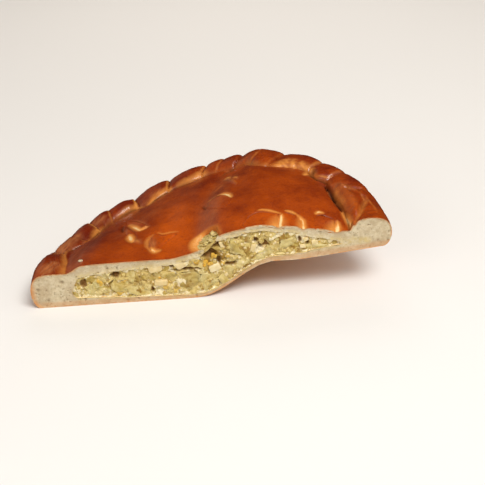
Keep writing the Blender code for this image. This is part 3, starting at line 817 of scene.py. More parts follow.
def close_cut(bm, spacing, depth_at, material_index, seed):
    """Fills the open cut with a fine web of triangles, sinks it by depth_at(x, z, distance from
    the cut's outline) and gives back the web's own vertices."""
    edges = [edge for edge in bm.edges if edge.is_boundary]
    verts = list({vert for edge in edges for vert in edge.verts})
    number = {vert: i for i, vert in enumerate(verts)}
    flat = np.array([(vert.co.x, vert.co.z) for vert in verts])
    pairs = [(number[edge.verts[0]], number[edge.verts[1]]) for edge in edges]
    low, high = flat.min(0), flat.max(0)
    columns, rows = (int(n) for n in np.ceil((high - low) / spacing))
    grid = np.stack(np.meshgrid(np.arange(columns), np.arange(rows)), -1).reshape(-1, 2)
    draw = np.random.default_rng(seed)
    jitter = draw.uniform(-WEB_JITTER, WEB_JITTER, grid.shape)
    spots = low + spacing * (grid + 0.5 * (grid[:, 1:] % 2) + jitter)
    spots = spots[within(spots, *(flat[list(side)] for side in zip(*pairs)))]
    tree = kdtree.KDTree(len(flat))
    for i, (x, z) in enumerate(flat):
        tree.insert((x, z, 0.0), i)
    tree.balance()
    away = np.array([tree.find((x, z, 0.0))[2] for x, z in spots])
    clear = away > WEB_MARGIN * spacing
    spots, away = spots[clear], away[clear]
    everything = [Vector(spot) for spot in (*flat, *spots)]
    points, _, faces, origins, _, _ = delaunay_2d_cdt(everything, pairs, [], 1, 1e-7)
    depths = depth_at(spots[:, 0], spots[:, 1], away)
    corners, inner = [], []
    for point, origin in zip(points, origins):
        first = min(origin) if origin else None
        if first is not None and first < len(verts):
            corners.append(verts[first])
            continue
        depth = depths[first - len(verts)] if first is not None else 0.0
        corners.append(bm.verts.new((point.x, verts[0].co.y + depth, point.y)))
        inner.append(corners[-1])
    for face in faces:
        around = [corners[i] for i in face]
        if len(set(around)) == 3 and bm.faces.get(around) is None:
            bm.faces.new(around).material_index = material_index
    return inner


def smooth_object(bm, name, finishes, sharp):
    """Turns a bmesh in the pie's own frame into a named piece in its place."""
    bmesh.ops.translate(bm, verts=bm.verts, vec=(MIDDLE_X, KNIFE_Y, 0.0))
    bmesh.ops.triangulate(bm, faces=bm.faces)
    bmesh.ops.recalc_face_normals(bm, faces=bm.faces)
    mesh = bpy.data.meshes.new(name)
    bm.to_mesh(mesh)
    bm.free()
    mesh.shade_smooth()
    mesh.set_sharp_from_angle(angle=math.radians(sharp))
    for finish in finishes:
        mesh.materials.append(finish)
    piece = bpy.data.objects.new(name, mesh)
    bpy.context.scene.collection.objects.link(piece)
    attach(piece, "root")
    return piece


# ---------------------------------------------------------------- finishes
class Nodes:
    """A node tree being built. A value is a number, a colour or another node's output."""

    def __init__(self, tree):
        self.tree = tree

    def feed(self, value, socket):
        if isinstance(value, bpy.types.NodeSocket):
            self.tree.links.new(value, socket)
        else:
            socket.default_value = (*value, 1.0) if socket.type == "RGBA" else value

    def put(self, kind, values, **settings):
        node = self.tree.nodes.new(kind)
        for name, value in settings.items():
            setattr(node, name, value)
        for name, value in values.items():
            self.feed(value, node.inputs[name])
        return node

    def reckon(self, operation, first, second=0.5, third=0.5, limit=False):
        values = {0: first, 1: second, 2: third}
        return self.put("ShaderNodeMath", values, operation=operation, use_clamp=limit).outputs[0]

    def add(self, first, second, limit=False):
        return self.reckon("ADD", first, second, limit=limit)

    def times(self, first, second, more=None, limit=False):
        """The product, with more added to it where it is given."""
        if more is None:
            return self.reckon("MULTIPLY", first, second)
        return self.reckon("MULTIPLY_ADD", first, second, more, limit)

    def blend(self, share, first, second):
        values = {0: share, 6: first, 7: second}
        return self.put("ShaderNodeMix", values, data_type="RGBA", clamp_factor=True).outputs[2]

    def between(self, value, low, high):
        """0 at low and 1 at high, level at both."""
        values = {"Value": value, "From Min": low, "From Max": high}
        node = self.put("ShaderNodeMapRange", values, clamp=True, interpolation_type="SMOOTHSTEP")
        return node.outputs["Result"]

    def seen(self, name):
        return self.put("ShaderNodeAttribute", {}, attribute_name=name).outputs["Fac"]

    def where(self, output="Object"):
        return self.put("ShaderNodeTexCoord", {}).outputs[output]

    def spots(self, scale, detail=2.0, roughness=0.5, warp=0.0):
        values = {"Scale": scale, "Detail": detail, "Roughness": roughness, "Distortion": warp}
        return self.put("ShaderNodeTexNoise", {"Vector": self.where(), **values}).outputs["Fac"]

    def cells(self, scale):
        values = {"Vector": self.where(), "Scale": scale, "Randomness": 1.0}
        return self.put("ShaderNodeTexVoronoi", values, feature="F1").outputs["Distance"]

    def grain(self, scale):
        """The grain's mask and height."""
        return self.put("ShaderNodeGroup", {"Scale": scale}, node_tree=grain_group()).outputs


class Look(Nodes):
    """A finish being made, and the colour it has reached."""

    def __init__(self, name, uniform):
        self.finish = bpy.data.materials.new(name)
        self.finish.use_nodes = True
        super().__init__(self.finish.node_tree)
        self.base = None
        for socket, value in uniform.items():
            self.set(socket, value)

    def set(self, socket, value):
        self.feed(value, self.tree.nodes["Principled BSDF"].inputs[socket])

    def cover(self, share, colour):
        self.base = self.blend(share, self.base, colour)

    def done(self, height, strength, distance):
        values = {"Height": height, "Strength": strength, "Distance": distance}
        self.set("Normal", self.put("ShaderNodeBump", values).outputs["Normal"])
        self.set("Base Color", self.base)
        return self.finish


def grain_group():
    """Fine unevenness that the dough's and the filling's finishes share: a mask and a height."""
    name = "fine_grain"
    if name in bpy.data.node_groups:
        return bpy.data.node_groups[name]
    tree = bpy.data.node_groups.new(name, "ShaderNodeTree")
    scale = tree.interface.new_socket("Scale", in_out="INPUT", socket_type="NodeSocketFloat")
    scale.default_value = 900.0
    tree.interface.new_socket("Mask", in_out="OUTPUT", socket_type="NodeSocketFloat")
    tree.interface.new_socket("Height", in_out="OUTPUT", socket_type="NodeSocketFloat")
    nodes = Nodes(tree)
    entry, leave = tree.nodes.new("NodeGroupInput"), tree.nodes.new("NodeGroupOutput")
    fine = nodes.spots(entry.outputs["Scale"], 3.0, 0.6)
    coarse = nodes.spots(nodes.times(entry.outputs["Scale"], 0.3), 1.0, 0.5)
    nodes.feed(nodes.times(fine, coarse), leave.inputs["Height"])
    nodes.feed(nodes.between(coarse, 0.35, 0.65), leave.inputs["Mask"])
    return tree


def crust_finish(colours):
    """Glossy egg-washed crust: red-brown to orange, golden in its folds, dull below."""
    look = Look("washed_crust", {"Coat Roughness": 0.2, "Coat IOR": 1.4, "Specular IOR Level": 0.2})
    # the masks of painted shade and of the painted pinkish sheen, and the glaze
    painted_shade, dull, glaze = (look.seen(name) for name in ("painted_shade", "painted_sheen", "glaze"))
    clouds = look.spots(90.0, 3.0, 0.55, 0.4)
    flecks = look.spots(420.0, 2.0, 0.6)
    mottle = look.spots(1100.0, 2.0, 0.6)
    warm = look.times(clouds, 0.7, look.times(mottle, 0.6, -0.65))
    warm = look.add(look.seen("warm"), warm, limit=True)
    look.base = look.blend(warm, colours.deep, colours.bright)
    look.cover(look.times(look.between(flecks, 0.50, 0.72), 0.38), colours.deep)
    pale = look.add(look.times(clouds, 0.8, 0.6), -0.15)
    pale = look.times(look.times(mottle, 0.3, pale), look.seen("pale"))
    # the pinkish painted sheen
    look.cover(look.times(dull, 0.5), colours.painted_sheen)
    look.cover(look.times(pale, 1.15, -0.06), colours.golden)
    look.cover(look.between(pale, 0.80, 1.15), colours.cream)
    # painted shade in the creases, the crack and the marks' dark lines
    look.cover(painted_shade, colours.crease_shade)
    patches = look.between(look.spots(160.0, 4.0, 0.65), 0.42, 0.62)
    look.cover(look.seen("under"), look.blend(patches, colours.golden, colours.base))
    fine = look.grain(1100.0)
    matt = look.times(painted_shade, 0.25, look.times(glaze, -0.30, 0.66))
    matt = look.times(dull, 0.12, matt)
    look.set("Roughness", look.times(fine["Mask"], 0.08, matt))
    look.set("Coat Weight", look.times(painted_shade, -0.7, look.times(glaze, 0.75), limit=True))
    return look.done(fine["Height"], 0.35, 0.0006)


def soft(weight, radius, scale):
    """The settings that let light into a finish."""
    names = ("Subsurface Weight", "Subsurface Radius", "Subsurface Scale")
    return dict(zip(names, (weight, radius, scale)))


def crumb_finish(colours):
    """The cut dough: cream, finely pored, browned along its very edge."""
    look = Look("cut_dough", {"Roughness": 0.62, **soft(0.2, (1.0, 0.8, 0.6), 0.001)})
    clouds = look.spots(150.0, 4.0, 0.65)
    look.base = look.blend(look.between(clouds, 0.36, 0.66), colours.crumb, colours.crumb_shade)
    fine = look.spots(700.0, 3.0, 0.7)
    look.cover(look.times(look.between(fine, 0.48, 0.66), 0.6), colours.crumb_shade)
    # tiny pores as specks of painted shade
    speck = look.between(look.cells(520.0), 0.24, 0.08)
    look.cover(look.times(speck, 0.7), colours.hole_shade)
    stained = look.times(look.seen("stain"), look.between(clouds, 0.3, 0.7))
    look.cover(look.times(stained, 0.8), colours.filling)
    # the pores' painted shade
    look.cover(look.seen("hole_shade"), colours.hole_shade)
    # the crust's edge line at the cut, and weaker painted shade along the bottom of the cut dough
    look.cover(look.seen("edge"), colours.edge)
    return look.done(look.times(speck, -0.6, fine), 0.5, 0.0006)


def cabbage_finish(colours):
    """Stewed cabbage: wet, half see-through, veined, each piece of its own tone."""
    wet = {"Coat Weight": 0.35, "Coat Roughness": 0.2}
    look = Look("stewed_cabbage", {**soft(0.3, (1.0, 0.8, 0.45), 0.0015), **wet})
    clouds = look.spots(200.0, 3.0, 0.6)
    share = look.add(look.seen("tone"), look.times(clouds, 2.2, -1.1), limit=True)
    look.base = look.blend(look.between(share, 0.0, 0.55), colours.cabbage_pale, colours.cabbage)
    look.cover(look.between(share, 0.55, 1.0), colours.cabbage_olive)
    mottle = look.between(look.spots(620.0, 3.0, 0.65), 0.5, 0.7)
    look.cover(look.times(mottle, 0.4), colours.filling_shade)
    look.cover(look.times(look.seen("rim"), 0.5), colours.cabbage_pale)
    bend = look.times(clouds, 1.6, look.seen("vein"))
    stripe = look.reckon("SINE", look.times(bend, 9.0))
    look.cover(look.times(look.between(stripe, 0.2, 0.95), 0.35), colours.cabbage_pale)
    fine = look.grain(800.0)
    look.set("Roughness", look.times(fine["Mask"], 0.2, 0.30))
    return look.done(look.times(stripe, 0.25, fine["Height"]), 0.5, 0.0006)


def egg_finish(name, colour, shade, roughness, softness):
    """Boiled egg, white or yolk, each piece of its own tone, finely mottled."""
    look = Look(name, {**soft(softness, (1.0, 0.85, 0.6), 0.001), "Coat Weight": 0.15})
    fine = look.grain(700.0)
    tone = look.times(look.seen("tone"), 0.6, look.times(fine["Mask"], 0.4))
    look.base = look.blend(tone, colour, shade)
    look.set("Roughness", look.times(fine["Mask"], 0.15, roughness))
    return look.done(fine["Height"], 0.5, 0.0005)


def core_finish(colours):
    """The chopped filling as the knife left it: cabbage, egg and what they cooked down to."""
    look = Look("cooked_filling", {"Coat Roughness": 0.2, **soft(0.15, (1.0, 0.8, 0.45), 0.001)})
    clouds = look.spots(350.0, 4.0, 0.65, 0.6)
    tone = look.add(look.seen("tone"), look.times(clouds, 1.6, -0.8))
    kind, hole_shade = look.seen("kind"), look.seen("hole_shade")
    leafy = look.blend(look.between(tone, 0.1, 0.6), colours.cabbage_pale, colours.cabbage)
    leafy = look.blend(look.between(tone, 0.72, 1.0), leafy, colours.cabbage_olive)
    stripe = look.reckon("SINE", look.times(look.seen("vein"), 9.0, look.times(clouds, 8.0)))
    stripe = look.times(look.between(stripe, 0.0, 1.0), 0.3)
    leafy = look.blend(stripe, leafy, colours.filling_shade)
    cooked = look.between(clouds, 0.44, 0.74)
    look.base = look.blend(cooked, colours.filling, colours.filling_shade)
    look.cover(look.between(kind, 0.40, 0.44), leafy)
    look.cover(look.between(kind, 0.78, 0.82), colours.white)
    bits = look.between(look.cells(330.0), 0.36, 0.22)
    bits = look.times(bits, look.between(clouds, 0.42, 0.52))
    look.cover(look.times(bits, 0.85), colours.white)
    look.cover(look.between(kind, 0.93, 0.95), colours.yolk_shade)
    look.cover(look.times(look.between(clouds, 0.50, 0.66), 0.42), colours.filling_shade)
    # painted shade in the hollows and the deeper seams
    look.cover(hole_shade, colours.hollow)
    fine = look.grain(600.0)
    look.set("Roughness", look.times(hole_shade, 0.4, look.times(fine["Mask"], 0.25, 0.32)))
    look.set("Coat Weight", look.times(hole_shade, -0.4, 0.4, limit=True))
    return look.done(look.add(clouds, fine["Height"]), 0.7, 0.0010)


FINISHES = {
    "washed_crust": crust_finish,
    "cut_dough": crumb_finish,
    "stewed_cabbage": cabbage_finish,
    "cooked_filling": core_finish,
    "egg_white": lambda of: egg_finish("egg_white", of.white, of.white_shade, 0.35, 0.4),
    "egg_yolk": lambda of: egg_finish("egg_yolk", of.yolk, of.yolk_shade, 0.6, 0.2),
}


def finished(scene, *names):
    """The finishes of these names, each made when it is first asked for."""
    colours = scene.pie_colours
    return [bpy.data.materials.get(name) or FINISHES[name](colours) for name in names]


# ---------------------------------------------------------------- the crust
# Single pores in the cut dough, sunk and darkened with painted shade, as (x, z, size) in mm
PORES = (
    (-98.7, 18.4, 1), (-115, 13.6, 0.7), (-109.2, 5.3, 0.7), (-97, 5.1, 0.5), (-76.7, 22.9, 0.6),
    (-74.6, 23.9, 0.5), (-68.1, 26.6, 0.6), (-84.7, 4.6, 0.5), (-57, 1.6, 0.8), (-49.8, 2.6, 0.5),
)
STRAY_PORES = 620
STRAY_REACH = 0.119
STRAY_HEIGHT = 0.054
DOUGH = ("washed_crust", "cut_dough")


def crumb_depth(relief):
    """The depth of the cut dough below the knife's plane, and the pores' painted shade."""
    draw = random.Random(11)
    holes = [(x * MM, z * MM, size * MM) for x, z, size in PORES]
    for _ in range(STRAY_PORES):
        x, z = draw.uniform(-STRAY_REACH, STRAY_REACH), draw.uniform(0.0, STRAY_HEIGHT)
        holes.append((x, z, draw.uniform(0.22, 0.55) ** 1.3 * MM))

    def pore_at(x, z):
        hole_shade = np.zeros(x.shape)
        for hx, hz, size in holes:
            near = np.abs(x - hx) < 3.0 * size
            if near.any():
                away = np.hypot((x[near] - hx) / 1.25, z[near] - hz)
                hole_shade[near] = np.maximum(hole_shade[near], fall(away, size) * min(1.0, size / (0.45 * MM)))
        return hole_shade

    def depth_at(x, z, away):
        uneven = 0.30 * rough(x, z, 0.0, 0.0045, 31.0) + 0.16 * rough(x, z, 0.0, 0.0018, 33.0)
        settled = clamp(away / (1.2 * MM))
        return relief * ((0.35 + uneven) * settled + 1.1 * pore_at(x, z)) * MM

    return depth_at, pore_at


def build_crust(scene):
    shape = scene.pie_shape
    bm = turned(crust_table(turn_bearings()), CRUST_PAINT)
    cut_off(bm)
    layers = layers_of(bm, ("edge", "hole_shade", "stain"))
    glaze_layer, under_layer = layers_of(bm, ("glaze", "under"))
    depth_at, pore_at = crumb_depth(shape.crumb_relief)
    open_verts = {vert for edge in bm.edges if edge.is_boundary for vert in edge.verts}
    outside = [
        vert
        for vert in open_verts
        if (vert[glaze_layer] > 0.6 or vert[under_layer] > 0.0) and not leaf_over(vert.co)
    ]
    inner = close_cut(bm, shape.crumb_web, depth_at, material_index=1, seed=3)
    tree = kdtree.KDTree(len(outside))
    for i, vert in enumerate(outside):
        tree.insert(vert.co, i)
        vert[layers[0]] = 1.0
    tree.balance()
    xs, _, zs = np.array([vert.co for vert in inner]).T
    rows = []
    for vert, hole_shade in zip(inner, pore_at(xs, zs)):
        x, z = vert.co.x, vert.co.z
        bottom = underside(x, 0.0)
        left_end = float(ease((-0.110 - x) / 0.008) * ease((0.021 - z) / 0.008))
        below = float(ease((bottom + 0.004 - z) / 0.001)) * (1.0 - left_end)
        thick = (0.8 + 0.5 * noise.noise(vert.co / 0.006) + 2.0 * left_end + 0.5 * below) * MM
        # a band along the bottom of the cut dough takes some of the edge colour as painted shade
        low = float(ease((bottom + 0.0048 - z) / 0.0022)) * (1.0 - left_end)
        brown = fall(tree.find((x, 0.0, z))[2], thick) * (1.0 - 0.35 * below)
        over, under = float(cavity_top(x, 0.0)), float(cavity_bottom(x, 0.0))
        near = max(0.0, z - over, under - z) if over > under else 1.0
        far_left = max(0.0, -0.089 - x)
        rows.append((max(brown, 0.42 * low), hole_shade, fall(near + far_left, 2.0 * MM)))
    paint_verts(inner, layers, rows)
    piece = smooth_object(bm, "crust_baked", finished(scene, *DOUGH), sharp=60.0)
    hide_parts("crust")


CRUMB_SPOT = (-0.0859, 0.0073)
CRUMB_SIZE = (0.0030, 0.0020, 0.0016)


def build_stray_crumb(scene):
    """A ragged crumb of the cut dough that fell on the top."""
    bm = bmesh.new()
    layers = layers_of(bm, ("hole_shade", "edge"))
    bmesh.ops.create_icosphere(bm, subdivisions=3, radius=0.5)
    for vert in bm.verts:
        push = 1.0 + 0.45 * noise.noise(vert.co * 4.0)
        vert.co = Vector([side * size for side, size in zip(vert.co, CRUMB_SIZE)]) * push
    paint_verts(bm.verts, layers, [(0.0, 0.0)] * len(bm.verts))
    lift = float(panel(*CRUMB_SPOT)) + 0.35 * CRUMB_SIZE[2]
    bmesh.ops.translate(bm, verts=bm.verts, vec=(*CRUMB_SPOT, lift))
    piece = smooth_object(bm, "stray_crumb", finished(scene, "cut_dough"), sharp=50.0)


# ---------------------------------------------------------------- the leaves
LEAF_ALONG = 40
LEAF_ACROSS = 22
LEAF_WEB = 0.9 * MM
# How high each leaf's upper edge stands, in mm
LEAF_SWELL = dict(zip(LEAVES, (0.7, 0.5, 0.7, 0.8, 0.9, 0.9, 0.9)))


def on_path(path, shares):
    """Points at equal shares of a path's length, smoothed."""
    path = np.array(path, float)
    places = np.concatenate([[0.0], np.cumsum(np.hypot(*np.diff(path, axis=0).T))])
    places /= places[-1]
    return np.stack([along(tuple(zip(places, path[:, i])), shares) for i in (0, 1)], -1)


def extruded(bm, faces):
    """Extrudes faces and gives back the new vertices."""
    made = bmesh.ops.extrude_face_region(bm, geom=faces)["geom"]
    return [item for item in made if isinstance(item, bmesh.types.BMVert)]


def build_leaf(scene, name):
    upper, lower = LEAVES[name]
    bm = bmesh.new()
    layers = layers_of(bm, CRUST_PAINT)
    bmesh.ops.create_grid(bm, x_segments=LEAF_ALONG, y_segments=LEAF_ACROSS, size=1.0)
    top = list(bm.verts)
    for verts, lowered in ((top, False), (extruded(bm, bm.faces[:]), True)):
        u, v, _ = np.array([vert.co for vert in verts]).T * 0.5 + 0.5
        low_edge, high_edge = on_path(lower, u), on_path(upper, u)
        x, y = mix(low_edge, high_edge, v[:, None]).T * MM
        width = np.hypot(*(high_edge - low_edge).T)
        from_low, from_high = width * v, width * (1.0 - v)
        inside = np.maximum(0.0, inside_leaf(x, y, name))
        crest = LEAF_SWELL[name] * np.exp(-from_high / 4.5) * (1.0 - np.exp(-from_high / 0.8))
        crest = crest * ease(from_low / 3.0)
        sunk = 0.35 * np.exp(-inside / 0.5) + 0.4 * np.exp(-from_high / 0.5)
        waves = 0.2 * rough(x, y, 0.0, 0.005, 13.0) * ease(inside / 2.0)
        rise, pale, painted_shade = marks(x, y)
        over = (0.25 * ease(inside / 1.5) + 1.5 * crest - sunk + waves) * MM + 0.6 * rise
        z = panel(x, y) + np.where(lowered, -1.6 * MM, over)
        for vert, spot in zip(verts, zip(x, y, z)):
            vert.co = spot
        # the leaves carry the marks' painted shade and the painted pinkish sheen too
        paint = (pale, painted_shade, warmth(x, y), np.ones(len(x)), np.zeros(len(x)), painted_sheen(x, y))
        paint_verts(verts, layers, np.stack(paint, -1).tolist())
    bmesh.ops.remove_doubles(bm, verts=bm.verts, dist=1e-5)
    cut_off(bm)
    (edge_layer,) = layers_of(bm, ("edge",))
    if any(edge.is_boundary for edge in bm.edges):
        close_cut(bm, LEAF_WEB, lambda x, z, away: 0.3 * MM * clamp(away / MM), 1, seed=5)
        for vert in bm.verts:
            if vert.co.y < 0.01 * MM and vert.co.z > float(panel(vert.co.x, 0.0)) - 0.8 * MM:
                vert[edge_layer] = 1.0
    piece = smooth_object(bm, name + "_baked", finished(scene, *DOUGH), sharp=60.0)
    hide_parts(name)


def build_leaves(scene):
    for name in LEAVES:
        build_leaf(scene, name)


# ---------------------------------------------------------------- the filling
# The pieces of cabbage that show at the cut, as (x, z, width, height) in mm, then tone, depth in
# mm and turn in degrees
SHEETS = (
    (-61, 14, 12, 11, 0.45, 0.6, 20), (-49, 17, 5, 10, 0.95, 1.2, 10),
    (-16, 13, 17, 13, 0.75, 0.4, 38), (10, 18, 8, 11, 0.4, 0.5, -20),
    (21, 37, 16, 12, 0.5, 0.7, 12), (20, 41, 13, 6, 0.9, 1.4, 10), (52, 37, 13, 7, 0.15, 0.4, -5),
    (48, 32, 4, 5, 0.7, 1.6, 30), (-44, 26, 4, 4, 0.9, 0.8, 0), (-29, 18, 10, 5, 0.65, 0.6, 15),
    (-69, 17, 6, 3, 0.95, 1, 5), (-91, 9, 4, 10, 0.35, 0.5, 0), (40, 31, 12, 10, 0.2, 0.6, 15),
    (-2, 13, 12, 12, 0.25, 0.5, 30), (11, 13, 14, 11, 0.35, 0.6, 35),
    (-53, 20, 5, 10, 0.25, 0.3, -10), (-80, 11, 6, 9, 0.15, 0.3, 20), (-49, 8, 15, 7, 0.3, 0.5, -8),
    (69, 32, 20, 6, 0.2, 0.5, 4), (32, 27, 8, 5, 0.1, 0.3, 25), (-74, 14, 10, 8, 0.35, 0.8, -15),
    (-8, 41, 8, 9, 0.05, 0.2, 60),
)
# The pieces of egg white there, as (x, z, width, height) in mm, then turn
WHITES = (
    (-37, 25, 9.1, 6.9, 8), (-34, 13, 8.9, 4, -3), (-21, 27, 7.1, 7.8, 35), (63, 39, 3.3, 2.7, 20),
    (69, 36, 4, 3.5, 10), (7, 39, 2.1, 4.3, 20), (28, 35, 3.4, 5.8, -15), (-73, 24, 5.5, 2.6, 5),
    (2, 22, 7.5, 5, 25), (-53, 27, 5.6, 4.1, -10), (61, 34, 4, 2.7, 0),
)
# The clusters of yolk there, as (x, z, width, height) in mm
YOLKS = (
    (-2, 26, 6.2, 5.6), (-34, 29, 2.8, 2.8), (2, 31, 3.4, 2.8), (-10, 27, 3.5, 3.5),
    (10, 8, 5.5, 3.5), (16, 13, 4.1, 3.6), (-75, 16, 3.7, 3.6), (-61, 8, 4.2, 2.8),
)
# Hollows between them, sunk and darkened with painted shade, as (x, z, half-width, half-height)
HOLLOWS = (
    (-85, 16, 2.3, 2.9), (-79, 12, 1.2, 1.9), (-64, 21, 3.1, 1.7), (-26, 25, 1.1, 1.1),
    (-17, 22, 9, 0.9), (-2, 33, 5.4, 3), (3, 39, 4.3, 1.9), (17, 44, 1.7, 1), (30, 41, 1.4, 1.8),
    (35, 37, 3.3, 2.4), (59, 39, 1, 1.4), (64, 36, 0.7, 1.5), (-40, 8, 1.4, 1.5),
    (13, 24, 3.4, 1.3), (5, 27, 1.4, 2.6), (-25, 28, 1.1, 1.8),
)
PIECE_FINISH = ("tone", "vein", "rim")
SHEET_MESH = 1.1 * MM
PRESS_RUN = 0.35 * MM
FILLING_LEFT = -0.090
FILLING_RIGHT = 0.088
VENT_SHEETS = 30  # pieces of cabbage in the vent
YOLK_CLUSTER = 5  # crumbs in each cluster of yolk


def hollow_at(x, z):
    deep = np.zeros(np.shape(x))
    bent_x = x / MM + 1.3 * rough(x, z, 0.0, 0.003, 43.0)
    bent_z = z / MM + 0.9 * rough(x, z, 0.0, 0.003, 44.0)
    for hx, hz, half_width, half_height in HOLLOWS:
        away = np.hypot((bent_x - hx) / half_width, (bent_z - hz) / half_height)
        deep = np.maximum(deep, ease((1.35 - away) / 0.55))
    return deep


def settle(verts):
    """Presses a piece of the filling in between the dough above and the dough below it."""
    x, y, z = np.array([vert.co for vert in verts]).T
    behind = np.maximum(y, 0.0)
    in_vent = np.hypot(x, behind - CUT_OFFSET) < along(VENT_REACH, bearing(x, behind))
    roof = np.where(in_vent, panel(x, behind) - 2.2 * MM, cavity_top(x, behind) + 0.5 * MM)
    floor = cavity_bottom(x, behind) - 0.5 * MM
    for vert, height in zip(verts, np.clip(z, floor, roof)):
        vert.co.z = height


def press(verts, level):
    """Flattens a piece of the filling softly against the knife's cut."""
    for vert in verts:
        over = (vert.co.y - level) / PRESS_RUN
        vert.co.y = level + PRESS_RUN * (over if over > 20.0 else math.log1p(math.exp(over)))


def aim(x, y, z, tilt, roll, lean=0.0):
    """A place in the filling whose own Z points out of the cut, tilted, rolled and leaned."""
    turns = ((math.radians(90.0), "X"), (tilt, "X"), (lean, "Y"), (roll, "Z"))
    where = Matrix.Translation((x, y, z))
    for angle, axis in turns:
        where = where @ Matrix.Rotation(angle, 4, axis)
    return where


def add_sheet(bm, draw, where, width, height, thickness, tone, level):
    """A bent, wavy piece of cabbage leaf with soft edges."""
    across, up = (max(5, round(size / SHEET_MESH)) for size in (width, height))
    made = bmesh.ops.create_grid(bm, x_segments=across, y_segments=up, size=0.5)["verts"]
    faces = list({face for vert in made for face in vert.link_faces})
    bend, twist = draw.uniform(-0.3, 0.3), draw.uniform(-0.2, 0.2)
    seed, squareness = draw.uniform(0.0, 50.0), draw.uniform(0.5, 1.7)
    below = set(extruded(bm, faces))
    verts = [*made, *below]
    rows = []
    for vert in verts:
        u, v = vert.co.x, vert.co.y
        edge = max(abs(u), abs(v)) * 2.0
        side = -0.5 if vert in below else 0.5
        thick = thickness * side * max(0.2, 1.0 - edge**6) ** 0.5
        ragged = 1.0 + 0.30 * noise.noise(Vector((2.6 * u + seed, 2.6 * v, 0.0)))
        wave = 0.13 * noise.noise(Vector((3.2 * u, 3.2 * v, seed)))
        rows.append((tone, u + 0.3 * v, edge**3))
        x = u * width * ragged * math.sqrt(1.0 - squareness * v * v)
        y = v * height * ragged * math.sqrt(1.0 - squareness * u * u)
        span = min(width, height)
        vert.co = (x, y, span * (bend * (u * u - 0.1) + twist * u * v + wave) + thick)
    paint_verts(verts, layers_of(bm, PIECE_FINISH), rows)
    bmesh.ops.transform(bm, matrix=where, verts=verts)
    settle(verts)
    press(verts, level)


def add_lump(bm, draw, where, size, tone, level, jitter, chamfer=0.0):
    """A crumb or a cube with knocked corners."""
    if chamfer:
        made = bmesh.ops.create_cube(bm, size=1.0)["verts"]
        edges = list({edge for vert in made for edge in vert.link_edges})
        made = bmesh.ops.bevel(
            bm, geom=edges, offset=chamfer, segments=2, profile=0.5, affect="EDGES", material=-1
        )["verts"]
    else:
        made = bmesh.ops.create_icosphere(bm, subdivisions=2, radius=0.5)["verts"]
    seed = draw.uniform(0.0, 50.0)
    for vert in made:
        push = 1.0 + jitter * noise.noise(vert.co * 3.0 + Vector((seed, 0.0, 0.0)))
        vert.co = Vector([part * scale for part, scale in zip(vert.co, size)]) * push
    paint_verts(made, layers_of(bm, PIECE_FINISH), [(tone, 0.0)] * len(made))
    bmesh.ops.transform(bm, matrix=where, verts=made)
    settle(made)
    press(made, level)


def filling_spot(draw, deepest):
    """A place in the filling near the cut, away from its hollows."""
    while True:
        x, y = draw.uniform(FILLING_LEFT, FILLING_RIGHT), draw.uniform(0.0, deepest)
        share = draw.uniform(0.02, 0.98)
        low, high = float(cavity_bottom(x, 0.0)), float(cavity_top(x, 0.0))
        if high - low < 2.0 * MM:
            continue
        z = mix(low, high, share)
        if float(hollow_at(np.array(x), np.array(z))) < 0.3:
            return x, y, z


CORE_TURNS = 240
CORE_STEPS = 40
CORE_CROWN_STEPS = 16
CORE_CROWN_DEPTH = 5.2  # how far the filling in the vent lies below the top, in mm
CORE_DEPTH = 0.15 * MM
CORE_OVERLAP = 0.15 * MM
CORE_WEB = 0.55 * MM
CUT_PIECES = 400
CUT_PIECE_SIZE = 0.0042
DOUGHY = 0.86  # the kind of what clings to the dough: as pale as egg white


def core_table(degrees):
    """The places of the filling's body, from under the centre outwards and back over."""
    degrees = degrees[:, None]
    reach = cavity_reach(degrees) + CORE_OVERLAP
    vent = along(VENT_REACH, degrees)
    share = np.linspace(0.0, 1.0, CORE_STEPS + 1)[None, :]
    zones = []

    def add(radius, height):
        zones.append(zone(degrees, radius, height))

    radius = reach * share
    add(radius, cavity_bottom(*place(radius, degrees)) - CORE_OVERLAP)
    add(*cavity_end(degrees, reach, CORE_OVERLAP, downwards=False))
    radius = mix(reach, vent, share)
    add(radius, cavity_top(*place(radius, degrees)) + CORE_OVERLAP)
    rise = np.linspace(0.0, 1.0, CORE_CROWN_STEPS + 1)[1:][None, :]
    radius = (vent - 0.5 * MM) * (1.0 - rise)
    x, y = place(radius, degrees)
    crown = panel(x, y) - CORE_CROWN_DEPTH * MM + ripples(x, y, (1.3, 0.004, 41.0))
    roof = cavity_top(*place(vent, degrees)) + CORE_OVERLAP
    add(radius, mix(roof, crown, ease(rise / 0.35)))
    return np.stack(stack(zones)[:3], -1)


